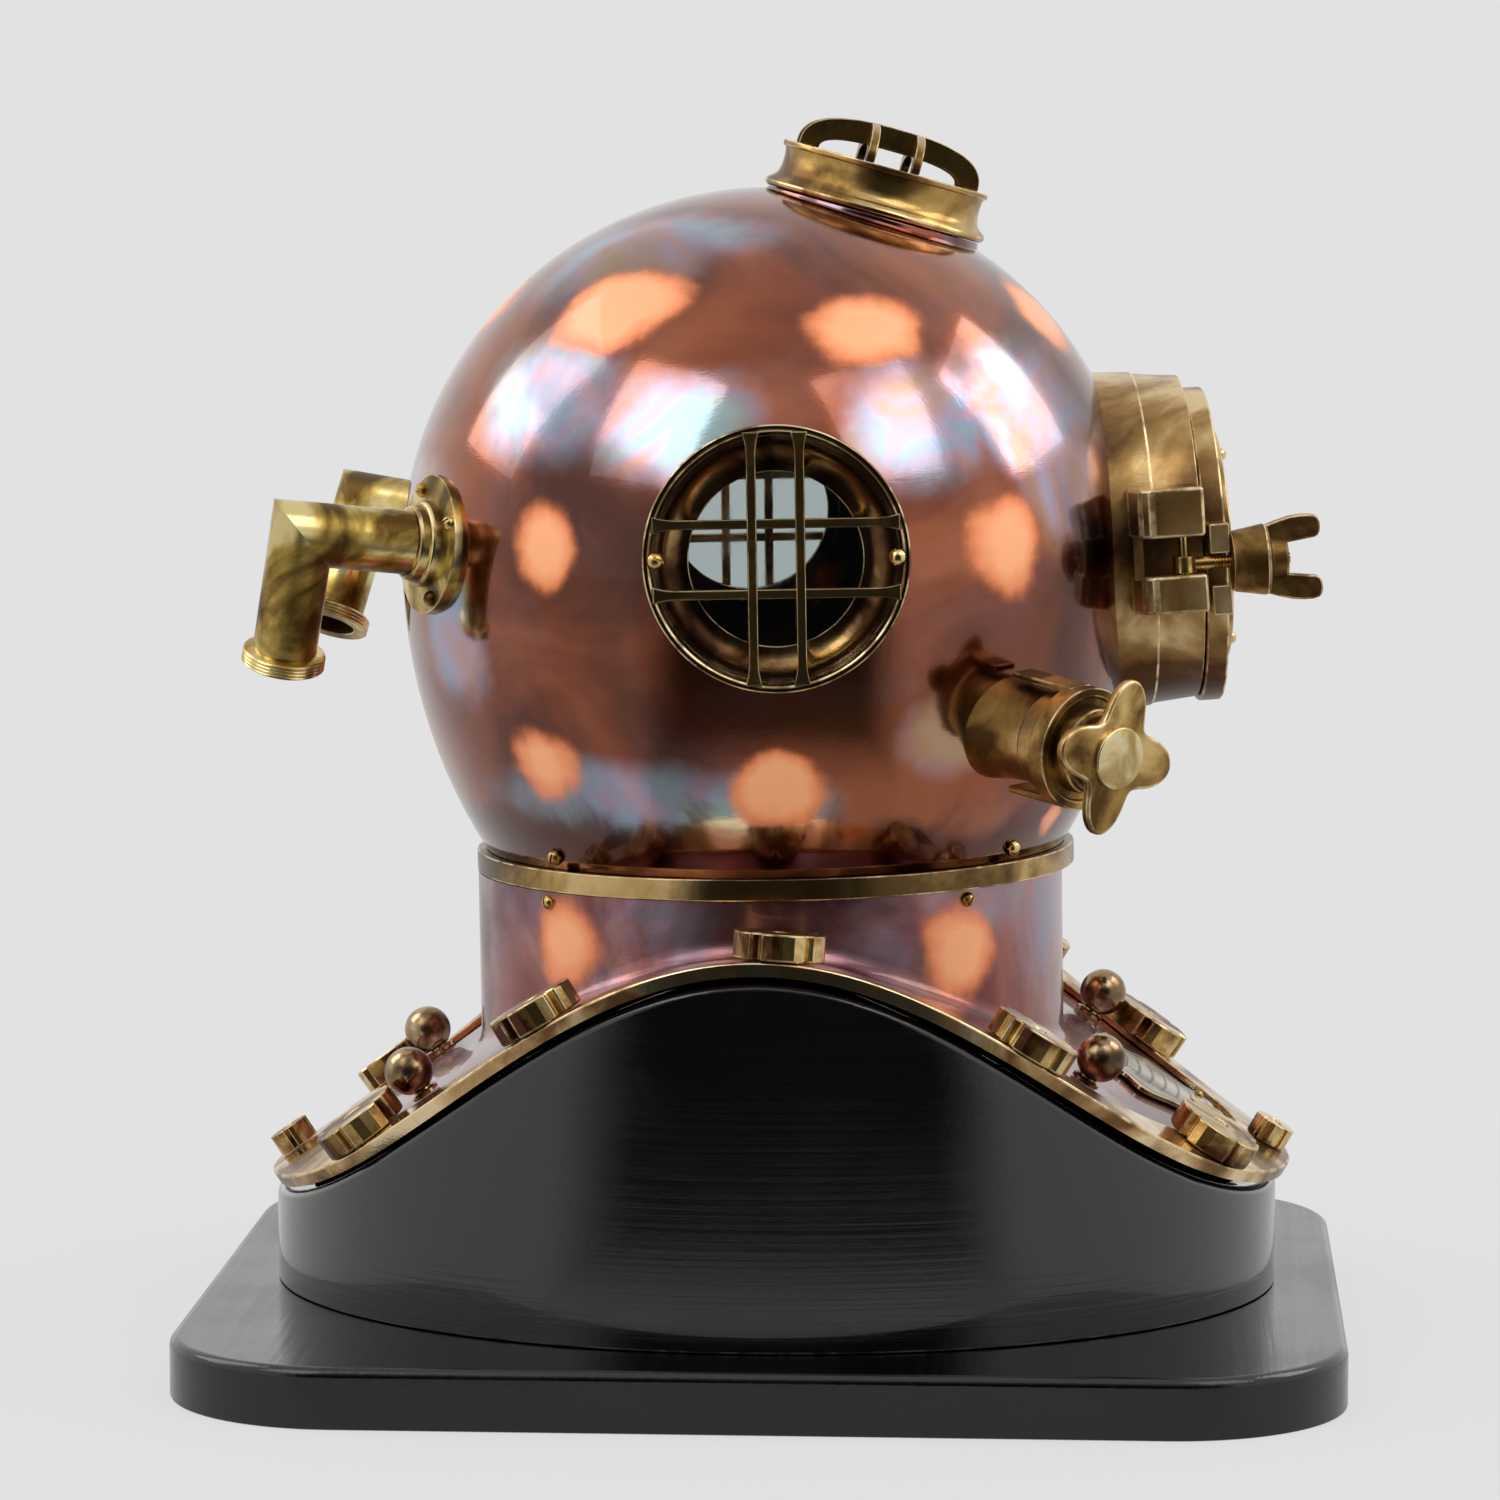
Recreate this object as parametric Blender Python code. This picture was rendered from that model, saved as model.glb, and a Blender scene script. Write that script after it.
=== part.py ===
"""A copper and brass diving helmet on its black display stand.

Units are metres and +Z is up. The origin is the centre of the stand's underside, the helmet faces -Y
and its right side is -X. The corselet (breastplate, rim and neck) leans back a little on the stand, and
the bonnet (the round head) sits on the neck ring, turned a little on the thread that locks it there.
"""

import math

import bmesh
import bpy
import numpy as np
from mathutils import Matrix, Vector

GAP = 0.0003                     # between pieces that touch

# Stand
PLATE_SIZE = (0.423, 0.486, 0.0255)
PLATE_CORNER = 0.074
PLATE_EDGE_ROUND = 0.004
BUST_HALF_WIDTH = 0.1760
BUST_HALF_LENGTH = 0.2158
BUST_WALL = 0.016
BUST_EDGE = (                    # the saw cut of the drum's top edge: (front to back, height)
    (-0.2167, 0.0590),
    (-0.1787, 0.0835),
    (-0.1362, 0.1170),
    (-0.0880, 0.1459),
    (0.0000, 0.1716),
    (0.0880, 0.1500),
    (0.1300, 0.1265),
    (0.1787, 0.0900),
    (0.2167, 0.0680),
)
BUST_UNDER_RIM = 0.0024          # how far the edge stays under the copper that rests on it

# Corselet
SEAT_Z = 0.2047                  # underside of the collar ring
HELMET_TILT = math.radians(-0.9)
BONNET_TURN = math.radians(5.75)
NECK_RADIUS = 0.1256
NECK_SET_BACK = 0.0025
NECK_FOOT_FRONT = 0.130          # height where the neck meets the slope, front and back
NECK_FOOT_RISE = 0.049           # and how much higher it does so at the shoulders
NECK_FILLET = 0.010
RIM_HALF_WIDTH = 0.1768
RIM_HALF_LENGTH = 0.2163
RIM_TOP = 0.1832
RIM_FALL = 0.1915
RIM_LIFT = 0.0816
COPPER_THICK = 0.0020
ROUND_STEPS = 48                 # steps round the neck, the rim and the drum

STRAP_WIDTH = 0.024
STRAP_THICK = 0.0033
STRAP_LIP = 0.0022

NUT_RADIUS = 0.0188
NUT_HEIGHT = 0.0112
NUT_LOBES = 5
NUT_NOTCH = 0.0016
NUT_INSET = 0.0150
SMALL_NUT = (0.0090, 0.0094, 0.0108)  # radius, height and inset of the front and back nuts
NUT_BORE = 0.0032
RIM_NUTS = (                     # where each nut stands: (name, degrees round from the front)
    ("front", 0.0),
    ("left_front_low", 40.5),
    ("left_front_high", 59.0),
    ("left_shoulder", 89.0),
    ("left_back_high", 117.5),
    ("left_back_low", 147.5),
    ("back", 180.0),
    ("right_back_low", -144.4),
    ("right_back_high", -116.0),
    ("right_shoulder", -86.9),
    ("right_front_high", -57.1),
    ("right_front_low", -26.5),
)
BALL_RADIUS = 0.0102
BALL_STEM = 0.0030
BALL_STUD_INSET = 0.0505
BALL_STUDS = (                   # (name, degrees round from the front)
    ("left_front", 37.6),
    ("left_back", 153.0),
    ("right_back", -147.5),
    ("right_front", -37.6),
)
NAMEPLATE_SHARES = (0.155, 0.69)  # its top and bottom edges, as shares of the way down the slope
NAMEPLATE_HALF_WIDTH = 0.046
NAMEPLATE_THICK = 0.0020
NAMEPLATE_LIFT = 0.0010

# Bonnet
BALL = Vector((0.0, 0.0, 0.3365))    # centre of the bonnet's sphere
BONNET_RADIUS = 0.158
BONNET_LOW_AXIS = 0.198          # the lower half is a longer half ellipse
RING_RADIUS = 0.1283
RING_BORE = 0.1210
RING_HEIGHT = 0.0092
SCREW_RADIUS = 0.0034

SIDE_PORT_LIFT = 4.2             # degrees above level
SIDE_PORT_SET_BACK = 1.6         # degrees behind the side
SIDE_PORT_RADIUS = 0.0544
SIDE_PORT_OPENING = 0.0355
SIDE_BAR_OFFSETS = (0.0098, 0.0142)  # of the upright bars and the level bars

TOP_PORT_LEAN = 73.6             # degrees above level, towards the front
TOP_PORT_ORIGIN = Vector((0.0, -0.0027, 0.3357))
TOP_BAR_OFFSETS = (0.0122, 0.0098)   # of the lengthwise bars and the cross bars
TOP_GUARD_RISE = 0.0166
TOP_BAR_DEPTH = 0.0098
TOP_BAR_THICK = 0.0036

WINDOW_LIFT = 2.8
WINDOW_ORIGIN = Vector((0.0, 0.0, 0.3337))
DOOR_DROP = 0.0038               # the door hangs a little low on its hinge
WINDOW_RADIUS = 0.0673
HOUSING_FRONT = 0.1785
DOOR_THICK = 0.0095
BOLT_X = -0.0800
BOLT_DROP = 0.0055
SLOT_Y = (-0.0095, 0.0063)
FORK_Y = (-0.0150, -0.0016)      # the opening between the fork's lugs
LUG_HEIGHT = 0.0124
BOLT_PIVOT_Z = 0.1690
BOLT_RADIUS = 0.0030
LUG_REACH = 0.0035               # how far the fork passes the bolt's axis
NUT_SEAT_GAP = 0.0004
HINGE_X = 0.0765

EXHAUST_TURN = 51.0              # degrees from the front towards the right side
EXHAUST_LIFT = -7.5
EXHAUST_FOOT = Vector((-0.1188, -0.0915, 0.2742))
EXHAUST_RADIUS = 0.0190

ELBOWS = (                       # degrees from the back towards the left, above level, and of inward swing
    ("right", -22.9, 7.2, -20.6),
    ("left", 34.8, 6.7, 28.0),
)
ELBOW_ORIGIN = Vector((0.0, 0.0, 0.3294))
ELBOW_REACH = 0.0562             # flange to mitre
ELBOW_DROP = 0.0593
ELBOW_FOLD = 4.9                 # degrees past square
TUBE_RADIUS = 0.0134
TUBE_BORE = 0.0113


def finish(name, colour, roughness, metallic=1.0):
    """Make one plain Principled material."""
    material = bpy.data.materials.new(name)
    material.use_nodes = True
    shader = material.node_tree.nodes["Principled BSDF"]
    shader.inputs["Base Color"].default_value = (*colour, 1.0)
    shader.inputs["Roughness"].default_value = roughness
    shader.inputs["Metallic"].default_value = metallic
    return material


COPPER = (0.56, 0.25, 0.17)
BRASS = (0.66, 0.48, 0.20)
LACQUER = (0.012, 0.012, 0.013)
GLASS = (0.75, 0.80, 0.80)


def add_piece(name, mesh_maker, colour, frame=Matrix(), roughness=0.28):
    """Make an object from a bmesh, give it a material of its own and place it."""
    mesh = bpy.data.meshes.new(name)
    bmesh.ops.recalc_face_normals(mesh_maker, faces=mesh_maker.faces)
    mesh_maker.to_mesh(mesh)
    mesh_maker.free()
    mesh.shade_smooth()
    mesh.set_sharp_from_angle(angle=math.radians(35))
    piece = bpy.data.objects.new(name, mesh)
    bpy.context.scene.collection.objects.link(piece)
    metallic = 0.0 if colour in (LACQUER, GLASS) else 1.0
    mesh.materials.append(finish(name, colour, roughness, metallic))
    piece.matrix_world = frame
    return piece


def as_cutter(piece):
    """Keep a piece as a guide that only cuts or joins others."""
    piece.hide_render = True
    piece.display_type = "WIRE"
    return piece


def cut(piece, cutter, operation="DIFFERENCE"):
    """Cut a piece with another, or join the other into it."""
    modifier = piece.modifiers.new(operation.title(), "BOOLEAN")
    modifier.operation = operation
    modifier.object = as_cutter(cutter)


def turned(profile, steps):
    """Turn a profile of (radius, height) points about Z; ends on the axis stay open there."""
    shape = bmesh.new()
    points = [shape.verts.new((radius, 0.0, height)) for radius, height in profile]
    for first, second in zip(points, points[1:] + points[:1]):
        if first.co.x > 0 or second.co.x > 0:
            shape.edges.new((first, second))
    bmesh.ops.spin(shape, geom=shape.verts[:] + shape.edges[:], axis=(0, 0, 1), cent=(0, 0, 0),
                   angle=math.tau, steps=steps, use_merge=True, use_duplicate=False)
    bmesh.ops.remove_doubles(shape, verts=shape.verts, dist=1e-6)
    return shape


def prism(outline, low, high, chamfer=0.0):
    """Raise a flat outline of (x, y) points from low to high, with its top edge chamfered."""
    shape = bmesh.new()
    foot = shape.faces.new([shape.verts.new((x, y, low)) for x, y in outline])
    lifted = bmesh.ops.extrude_face_region(shape, geom=[foot])["geom"]
    top = [item for item in lifted if isinstance(item, bmesh.types.BMFace)][0]
    for corner in top.verts:
        corner.co.z = high
    if chamfer:
        bmesh.ops.bevel(shape, geom=top.edges[:], offset=chamfer, segments=1, profile=0.5,
                        affect="EDGES", material=-1)
    return shape


def rod(radius, low, high, steps=16):
    """A plain round rod along Z."""
    return turned([(0.0, low), (radius, low), (radius, high), (0.0, high)], steps)


def arc(centre, radius, start, stop, steps):
    """Points of an arc, angles in degrees."""
    angles = np.radians(np.linspace(start, stop, steps + 1))
    return [(centre[0] + radius * math.cos(a), centre[1] + radius * math.sin(a)) for a in angles]


def box_outline(x_low, x_high, y_low, y_high):
    """A rectangle's corners, anticlockwise."""
    return [(x_low, y_low), (x_high, y_low), (x_high, y_high), (x_low, y_high)]


def facing(turn, lift, origin=BALL):
    """A frame whose +Z points out: turn is degrees from the front towards the right, lift is above level."""
    turn, lift = math.radians(turn), math.radians(lift)
    out = Vector((-math.sin(turn) * math.cos(lift), -math.cos(turn) * math.cos(lift), math.sin(lift)))
    up = (Vector((0, 0, 1)) - out * out.z).normalized()
    side = up.cross(out)
    frame = Matrix((side, up, out)).transposed().to_4x4()
    return Matrix.Translation(origin) @ frame


def seat_frame():
    """The lean of the corselet on its stand, about the collar ring's underside."""
    pivot = Matrix.Translation((0, 0, SEAT_Z))
    return pivot @ Matrix.Rotation(HELMET_TILT, 4, "X") @ pivot.inverted()


CORSELET = seat_frame()
BONNET = CORSELET @ Matrix.Rotation(BONNET_TURN, 4, "Z")


# The stand


def add_stand_plate():
    """The flat wooden plate with round corners and a softened top edge."""
    width, length, height = PLATE_SIZE
    x, y = width / 2 - PLATE_CORNER, length / 2 - PLATE_CORNER
    outline = []
    for centre, start in (((x, y), 0), ((-x, y), 90), ((-x, -y), 180), ((x, -y), 270)):
        outline += arc(centre, PLATE_CORNER, start, start + 90, 8)
    shape = prism(outline, 0.0, height)
    top_edges = [edge for edge in shape.edges if all(corner.co.z > height / 2 for corner in edge.verts)]
    bmesh.ops.bevel(shape, geom=top_edges, offset=PLATE_EDGE_ROUND, segments=3, profile=0.5,
                    affect="EDGES", material=-1)
    add_piece("stand_plate", shape, LACQUER, roughness=0.15)


def bust_edge_height(angle):
    """Height of the drum's edge: its saw cut, or just under the copper where that is lower."""
    table = np.array(BUST_EDGE)
    saw_cut = np.polynomial.Polynomial.fit(table[:, 0], table[:, 1], 5)
    under = CORSELET @ slope_point(angle, 1.0, -STRAP_LIP - GAP)
    return min(float(saw_cut(-BUST_HALF_LENGTH * math.cos(angle))), under.z - BUST_UNDER_RIM)


def add_bust():
    """The oval drum that the rim rests on: an upright wall with a saddle-shaped top edge."""
    shape = bmesh.new()
    low = PLATE_SIZE[2] + GAP
    rows = []
    for step in range(ROUND_STEPS):
        angle = math.tau * step / ROUND_STEPS
        side, front = math.sin(angle), -math.cos(angle)
        high = bust_edge_height(angle)
        row = []
        for inset, height in ((0.0, low), (0.0, high), (BUST_WALL, high), (BUST_WALL, low)):
            row.append(shape.verts.new(((BUST_HALF_WIDTH - inset) * side,
                                        (BUST_HALF_LENGTH - inset) * front, height)))
        rows.append(row)
    join_rows(shape, rows)
    add_piece("stand_bust", shape, LACQUER, roughness=0.15)


def join_rows(shape, rows):
    """Join closed sections, each a ring of points, into a closed loop."""
    for this, following in zip(rows, rows[1:] + rows[:1]):
        for k in range(len(this)):
            after = (k + 1) % len(this)
            shape.faces.new((this[k], this[after], following[after], following[k]))


# The corselet


def foot_point(angle):
    """Where the neck's wall would meet the slope; angle goes round from the front towards the left."""
    height = NECK_FOOT_FRONT + NECK_FOOT_RISE * math.sin(angle) ** 2
    return Vector((NECK_RADIUS * math.sin(angle), NECK_SET_BACK - NECK_RADIUS * math.cos(angle), height))


def edge_point(angle):
    """The copper's outer edge, a saddle: low in front and at the back, high over the shoulders."""
    share = math.cos(angle)
    height = RIM_TOP - RIM_FALL * share ** 2 + RIM_LIFT * share ** 4
    return Vector((RIM_HALF_WIDTH * math.sin(angle), -RIM_HALF_LENGTH * share, height))


def slope_normal(angle, share):
    """The slope's outward normal."""
    nudge = 0.01
    along = (foot_point(angle + nudge).lerp(edge_point(angle + nudge), share)
             - foot_point(angle - nudge).lerp(edge_point(angle - nudge), share))
    down = edge_point(angle) - foot_point(angle)
    normal = down.cross(along).normalized()
    return normal if normal.z > 0 else -normal


def slope_point(angle, share, lift=0.0):
    """A point of the slope, share of the way from the neck to the rim, lifted along the normal."""
    return foot_point(angle).lerp(edge_point(angle), share) + slope_normal(angle, share) * lift


def slope_frame(angle, inset, lift):
    """A frame standing on the slope, inset from its edge: +Z is the normal and +Y points up the slope."""
    length = (edge_point(angle) - foot_point(angle)).length
    share = 1.0 - inset / length
    normal = slope_normal(angle, share)
    up = (foot_point(angle) - edge_point(angle)).normalized()
    side = up.cross(normal).normalized()
    frame = Matrix((side, normal.cross(side), normal)).transposed().to_4x4()
    return CORSELET @ Matrix.Translation(slope_point(angle, share, lift)) @ frame


def breastplate_line(angle):
    """One line of the copper from the neck's top, round the fillet and down the slope to the edge."""
    foot, edge = foot_point(angle), edge_point(angle)
    down = (edge - foot).normalized()
    up = Vector((0, 0, 1))
    corner = math.acos(max(-1.0, min(1.0, up.dot(down))))
    reach = NECK_FILLET / math.tan(corner / 2)
    start, stop = foot + up * reach, foot + down * reach
    top = Vector((foot.x, foot.y, SEAT_Z - GAP))
    middle = foot + (up + down).normalized() * (NECK_FILLET / math.sin(corner / 2))
    points = [top, start]
    for share in (1 / 3, 2 / 3):
        spoke = (start - middle).lerp(stop - middle, share).normalized() * NECK_FILLET
        points.append(middle + spoke)
    points.append(stop)
    for share in (0.5, 1.0):
        points.append(stop.lerp(edge, share))
    return points


def add_breastplate():
    """The copper neck and saddle, one sheet with a real thickness."""
    shape = bmesh.new()
    lines = []
    for step in range(ROUND_STEPS):
        lines.append([shape.verts.new(point) for point in breastplate_line(math.tau * step / ROUND_STEPS)])
    for this, following in zip(lines, lines[1:] + lines[:1]):
        for k in range(len(this) - 1):
            shape.faces.new((this[k], this[k + 1], following[k + 1], following[k]))
    piece = add_piece("breastplate", shape, COPPER, CORSELET)
    wall = piece.modifiers.new("Wall", "SOLIDIFY")
    wall.thickness = COPPER_THICK
    wall.offset = -1.0
    wall.use_even_offset = True


def add_rim_strap():
    """The brass strap on the slope's edge, with a lip that folds over the copper."""
    top, bottom = STRAP_THICK + GAP, -STRAP_LIP
    seat = 2.0 * GAP
    section = ((-0.0022, bottom), (-0.0022, top - 0.0010), (-0.0012, top), (STRAP_WIDTH - 0.0010, top),
               (STRAP_WIDTH, top - 0.0010), (STRAP_WIDTH, seat), (-seat, seat), (-seat, bottom))
    shape = bmesh.new()
    rows = []
    for step in range(ROUND_STEPS):
        angle = math.tau * step / ROUND_STEPS
        edge, normal = edge_point(angle), slope_normal(angle, 1.0)
        inward = (foot_point(angle) - edge).normalized()
        share = STRAP_WIDTH / (foot_point(angle) - edge).length
        inner_normal = slope_normal(angle, 1.0 - share)
        row = []
        for across, lift in section:
            lean = inner_normal if across > STRAP_WIDTH / 2 else normal
            row.append(shape.verts.new(edge + inward * across + lean * lift))
        rows.append(row)
    join_rows(shape, rows)
    add_piece("rim_strap", shape, BRASS, CORSELET)


def nut_outline(radius):
    """A round nut with narrow notches between its lobes."""
    outline = []
    lobe = math.tau / NUT_LOBES
    half_notch = 0.085
    for k in range(NUT_LOBES):
        start, stop = k * lobe + half_notch, (k + 1) * lobe - half_notch
        for angle in np.linspace(start, stop, 4):
            outline.append((radius * math.cos(angle), radius * math.sin(angle)))
        notch = (k + 1) * lobe
        depth = radius - NUT_NOTCH
        outline.append((depth * math.cos(notch), depth * math.sin(notch)))
    return outline


def add_rim_nuts():
    """The lobed nuts that clamp the rim."""
    for name, degrees in RIM_NUTS:
        big = (NUT_RADIUS, NUT_HEIGHT, NUT_INSET)
        radius, height, inset = SMALL_NUT if name in ("front", "back") else big
        frame = slope_frame(math.radians(degrees), inset, STRAP_THICK + 2 * GAP + 0.0002)
        nut = add_piece(f"rim_nut_{name}", prism(nut_outline(radius), 0.0, height), BRASS, frame)
        bore = rod(NUT_BORE, height - 0.004, height + 0.004, 8)
        cut(nut, add_piece(f"nut_bore_{name}", bore, BRASS, frame))


def add_ball_studs():
    """Four brass balls on short stems, for the weights' hooks."""
    for name, degrees in BALL_STUDS:
        frame = slope_frame(math.radians(degrees), BALL_STUD_INSET, GAP + 0.0004)
        middle = BALL_STEM + BALL_RADIUS - 0.0012
        profile = [(0.0, 0.0), (0.0062, 0.0), (0.0062, 0.0016), (0.0040, 0.0020)]
        start = -math.degrees(math.acos(0.0040 / BALL_RADIUS))
        profile += arc((0.0, middle), BALL_RADIUS, start, 90.0, 6)[:-1] + [(0.0, middle + BALL_RADIUS)]
        add_piece(f"ball_stud_{name}", turned(profile, 12), BRASS, frame)


def nameplate_half_width(share):
    """Half the plate's width at a share of its height: a waisted cartouche."""
    return NAMEPLATE_HALF_WIDTH * (0.86 + 0.14 * math.cos(4 * math.pi * share)) * (
        1.0 - 0.42 * abs(2 * share - 1) ** 6)


def add_nameplate():
    """The bare brass plate on the front slope, bent to it."""
    rows, columns = 8, 8
    shape = bmesh.new()
    layers = []
    for lift in (NAMEPLATE_LIFT, NAMEPLATE_LIFT + NAMEPLATE_THICK):
        grid = []
        for i in range(rows + 1):
            down = i / rows
            share = NAMEPLATE_SHARES[0] + (NAMEPLATE_SHARES[1] - NAMEPLATE_SHARES[0]) * down
            radius = foot_point(0).lerp(edge_point(0), share).y
            line = []
            for j in range(columns + 1):
                across = nameplate_half_width(down) * (2 * j / columns - 1)
                line.append(shape.verts.new(slope_point(across / abs(radius), share, lift)))
            grid.append(line)
        layers.append(grid)
    under, over = layers
    for grid in layers:
        for i in range(rows):
            for j in range(columns):
                shape.faces.new((grid[i][j], grid[i][j + 1], grid[i + 1][j + 1], grid[i + 1][j]))
    border = ([(0, j) for j in range(columns)] + [(i, columns) for i in range(rows)]
              + [(rows, j) for j in range(columns, 0, -1)] + [(i, 0) for i in range(rows, 0, -1)])
    for (i, j), (m, n) in zip(border, border[1:] + border[:1]):
        shape.faces.new((under[i][j], under[m][n], over[m][n], over[i][j]))
    add_piece("nameplate", shape, BRASS, CORSELET)


# The bonnet


def bonnet_profile(inset, steps):
    """The bonnet's outline from its foot up to the crown, inset by a wall thickness."""
    foot = SEAT_Z + RING_HEIGHT + GAP
    radius, low_axis = BONNET_RADIUS - inset, BONNET_LOW_AXIS - inset
    lowest = -math.asin((BALL.z - foot) / low_axis)
    points = []
    for angle in np.linspace(lowest, math.pi / 2, steps + 1):
        axis = low_axis if angle < 0 else radius
        points.append((radius * math.cos(angle), BALL.z + axis * math.sin(angle)))
    points[0] = (points[0][0], foot)
    points[-1] = (0.0, points[-1][1])
    return points


def add_bonnet():
    """The spun copper head, open at the neck and bored for its ports and fittings."""
    profile = bonnet_profile(0.0, 12) + bonnet_profile(COPPER_THICK, 12)[::-1]
    bonnet = add_piece("bonnet", turned(profile, 36), COPPER, BONNET)
    bores = [("side_bore_right", facing(90 + SIDE_PORT_SET_BACK, SIDE_PORT_LIFT), 0.0534),
             ("side_bore_left", facing(-90 - SIDE_PORT_SET_BACK, SIDE_PORT_LIFT), 0.0534),
             ("top_bore", facing(0, TOP_PORT_LEAN, TOP_PORT_ORIGIN), 0.0395),
             ("window_bore", facing(0, WINDOW_LIFT, WINDOW_ORIGIN), 0.0590),
             ("exhaust_bore", facing(EXHAUST_TURN, EXHAUST_LIFT, EXHAUST_FOOT) @ SINK, 0.0120)]
    bores += [(f"elbow_bore_{side}", facing(180 + turn, lift, ELBOW_ORIGIN), TUBE_BORE)
              for side, turn, lift, swing in ELBOWS]
    for name, frame, radius in bores:
        steps = 32 if radius > 0.03 else 16
        cut(bonnet, add_piece(name, rod(radius, 0.100, 0.180, steps), COPPER, BONNET @ frame))


SINK = Matrix.Translation((0, 0, -0.140))


def bonnet_clearance():
    """A shape a hair larger than the bonnet, which seats every fitting on it."""
    profile = [(0.0, SEAT_Z + RING_HEIGHT)] + bonnet_profile(-2.2 * GAP, 18)
    return add_piece("bonnet_clearance", turned(profile, 56), COPPER, BONNET)


def add_collar_ring():
    """The brass ring at the bonnet's foot."""
    edge = 0.0007
    profile = [(RING_BORE, SEAT_Z), (RING_RADIUS - edge, SEAT_Z), (RING_RADIUS, SEAT_Z + edge),
               (RING_RADIUS, SEAT_Z + RING_HEIGHT - edge), (RING_RADIUS - edge, SEAT_Z + RING_HEIGHT),
               (RING_BORE, SEAT_Z + RING_HEIGHT)]
    add_piece("collar_ring", turned(profile, ROUND_STEPS), BRASS, BONNET)


def screw_head(radius):
    """A domed screw head, flat underneath."""
    return turned([(0.0, 0.0), (radius, 0.0), (radius, 0.3 * radius), (0.6 * radius, 0.8 * radius),
                   (0.0, 0.8 * radius)], 8)


def add_collar_screws():
    """Round-headed screws above the collar ring, in the bonnet, and below it, in the neck."""
    over, under = SEAT_Z + RING_HEIGHT + 0.0060, SEAT_Z - 0.0046
    sink = -math.asin((BALL.z - over) / BONNET_LOW_AXIS)
    radius = BONNET_RADIUS * math.cos(sink)
    lean = -math.degrees(math.atan2(BONNET_RADIUS * math.sin(-sink), BONNET_LOW_AXIS * math.cos(sink)))
    for k, turn in enumerate((42.0, 138.0, 222.0, 318.0), start=1):
        foot = facing(turn, 0.0, Vector()) @ Vector((0, 0, radius)) + Vector((0, 0, over))
        frame = facing(turn, lean, foot) @ Matrix.Translation((0, 0, 0.0009))
        add_piece(f"bonnet_screw_{k}", screw_head(SCREW_RADIUS), BRASS, BONNET @ frame)
        turn += 4.0 if k % 2 else -4.0
        frame = facing(turn, 0.0, Vector((0, NECK_SET_BACK, under)))
        frame = frame @ Matrix.Translation((0, 0, NECK_RADIUS + GAP))
        add_piece(f"neck_screw_{k}", screw_head(SCREW_RADIUS * 0.9), BRASS, CORSELET @ frame)


def add_side_port(side, turn, clearance):
    """A side window: the dished frame with its grille, and the glass behind it."""
    frame = BONNET @ facing(turn, SIDE_PORT_LIFT)
    radius, opening, body = SIDE_PORT_RADIUS, SIDE_PORT_OPENING, SIDE_PORT_RADIUS - 0.0018
    dish = [(opening, 0.1405), (0.0402, 0.1405), (0.0402, 0.1350), (body, 0.1350), (body, 0.1540),
            (0.0500, 0.1540), (0.0455, 0.1482), (0.0385, 0.1442), (opening, 0.1434)]
    port = add_piece(f"side_port_{side}", turned(dish, 28), BRASS, frame)
    rim = add_piece(f"side_rim_{side}", turned([(0.0495, 0.1450), (radius, 0.1450), (radius, 0.1560), (
        radius - 0.0007, 0.1567), (0.0518, 0.1567), (0.0495, 0.1534)], 28), BRASS, frame)
    cut(rim, clearance)
    cut(port, rim, "UNION")
    upright, level = SIDE_BAR_OFFSETS
    bars = [(0, offset, 0.1538, 0.1578) for offset in (-upright, upright)]
    bars += [(90, offset, 0.1541, 0.1575) for offset in (-level, level)]
    for k, (spin, offset, low, high) in enumerate(bars):
        half = math.sqrt(0.0526 ** 2 - offset ** 2)
        neck, flare = 0.0015, 0.0026
        outline = [(offset - flare, -half), (offset + flare, -half), (offset + neck, 0.009 - half),
                   (offset + neck, half - 0.009), (offset + flare, half), (offset - flare, half),
                   (offset - neck, half - 0.009), (offset - neck, 0.009 - half)]
        bar = add_piece(f"side_bar_{side}_{k}", prism(outline, low, high), BRASS,
                        frame @ Matrix.Rotation(math.radians(spin), 4, "Z"))
        cut(port, bar, "UNION")
    add_piece(f"side_glass_{side}", rod(0.0398, 0.1353, 0.1400, 24), GLASS, frame, 0.03)
    for k, spin in ((1, 0), (2, 180)):
        screw_frame = frame @ Matrix.Rotation(math.radians(spin), 4, "Z")
        place = screw_frame @ Matrix.Translation((0.0490, 0.0, 0.1560)) @ Matrix.Rotation(-0.7, 4, "Y")
        add_piece(f"side_port_screw_{side}_{k}", screw_head(SCREW_RADIUS), BRASS, place)


def guard_arch(half_length, offset, spin, name, frame):
    """One arched bar of the top guard, standing on the port's lip."""
    base = 0.1738
    inner_half = half_length - 0.0085
    inner_rise = TOP_GUARD_RISE - TOP_BAR_DEPTH
    angles = np.linspace(0.0, math.pi, 10)

    def hoop(half, rise):
        return [(half * math.copysign(abs(math.cos(a)) ** 0.75, math.cos(a)), base + rise * math.sin(a) ** 0.75)
                for a in angles]

    outline = hoop(half_length, TOP_GUARD_RISE) + hoop(inner_half, inner_rise)[::-1]
    shape = prism(outline, -TOP_BAR_THICK / 2, TOP_BAR_THICK / 2)
    stand = Matrix.Rotation(math.radians(spin), 4, "Z") @ Matrix.Translation((0, offset, 0))
    return add_piece(name, shape, BRASS, frame @ stand @ Matrix.Rotation(math.pi / 2, 4, "X"))


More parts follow.
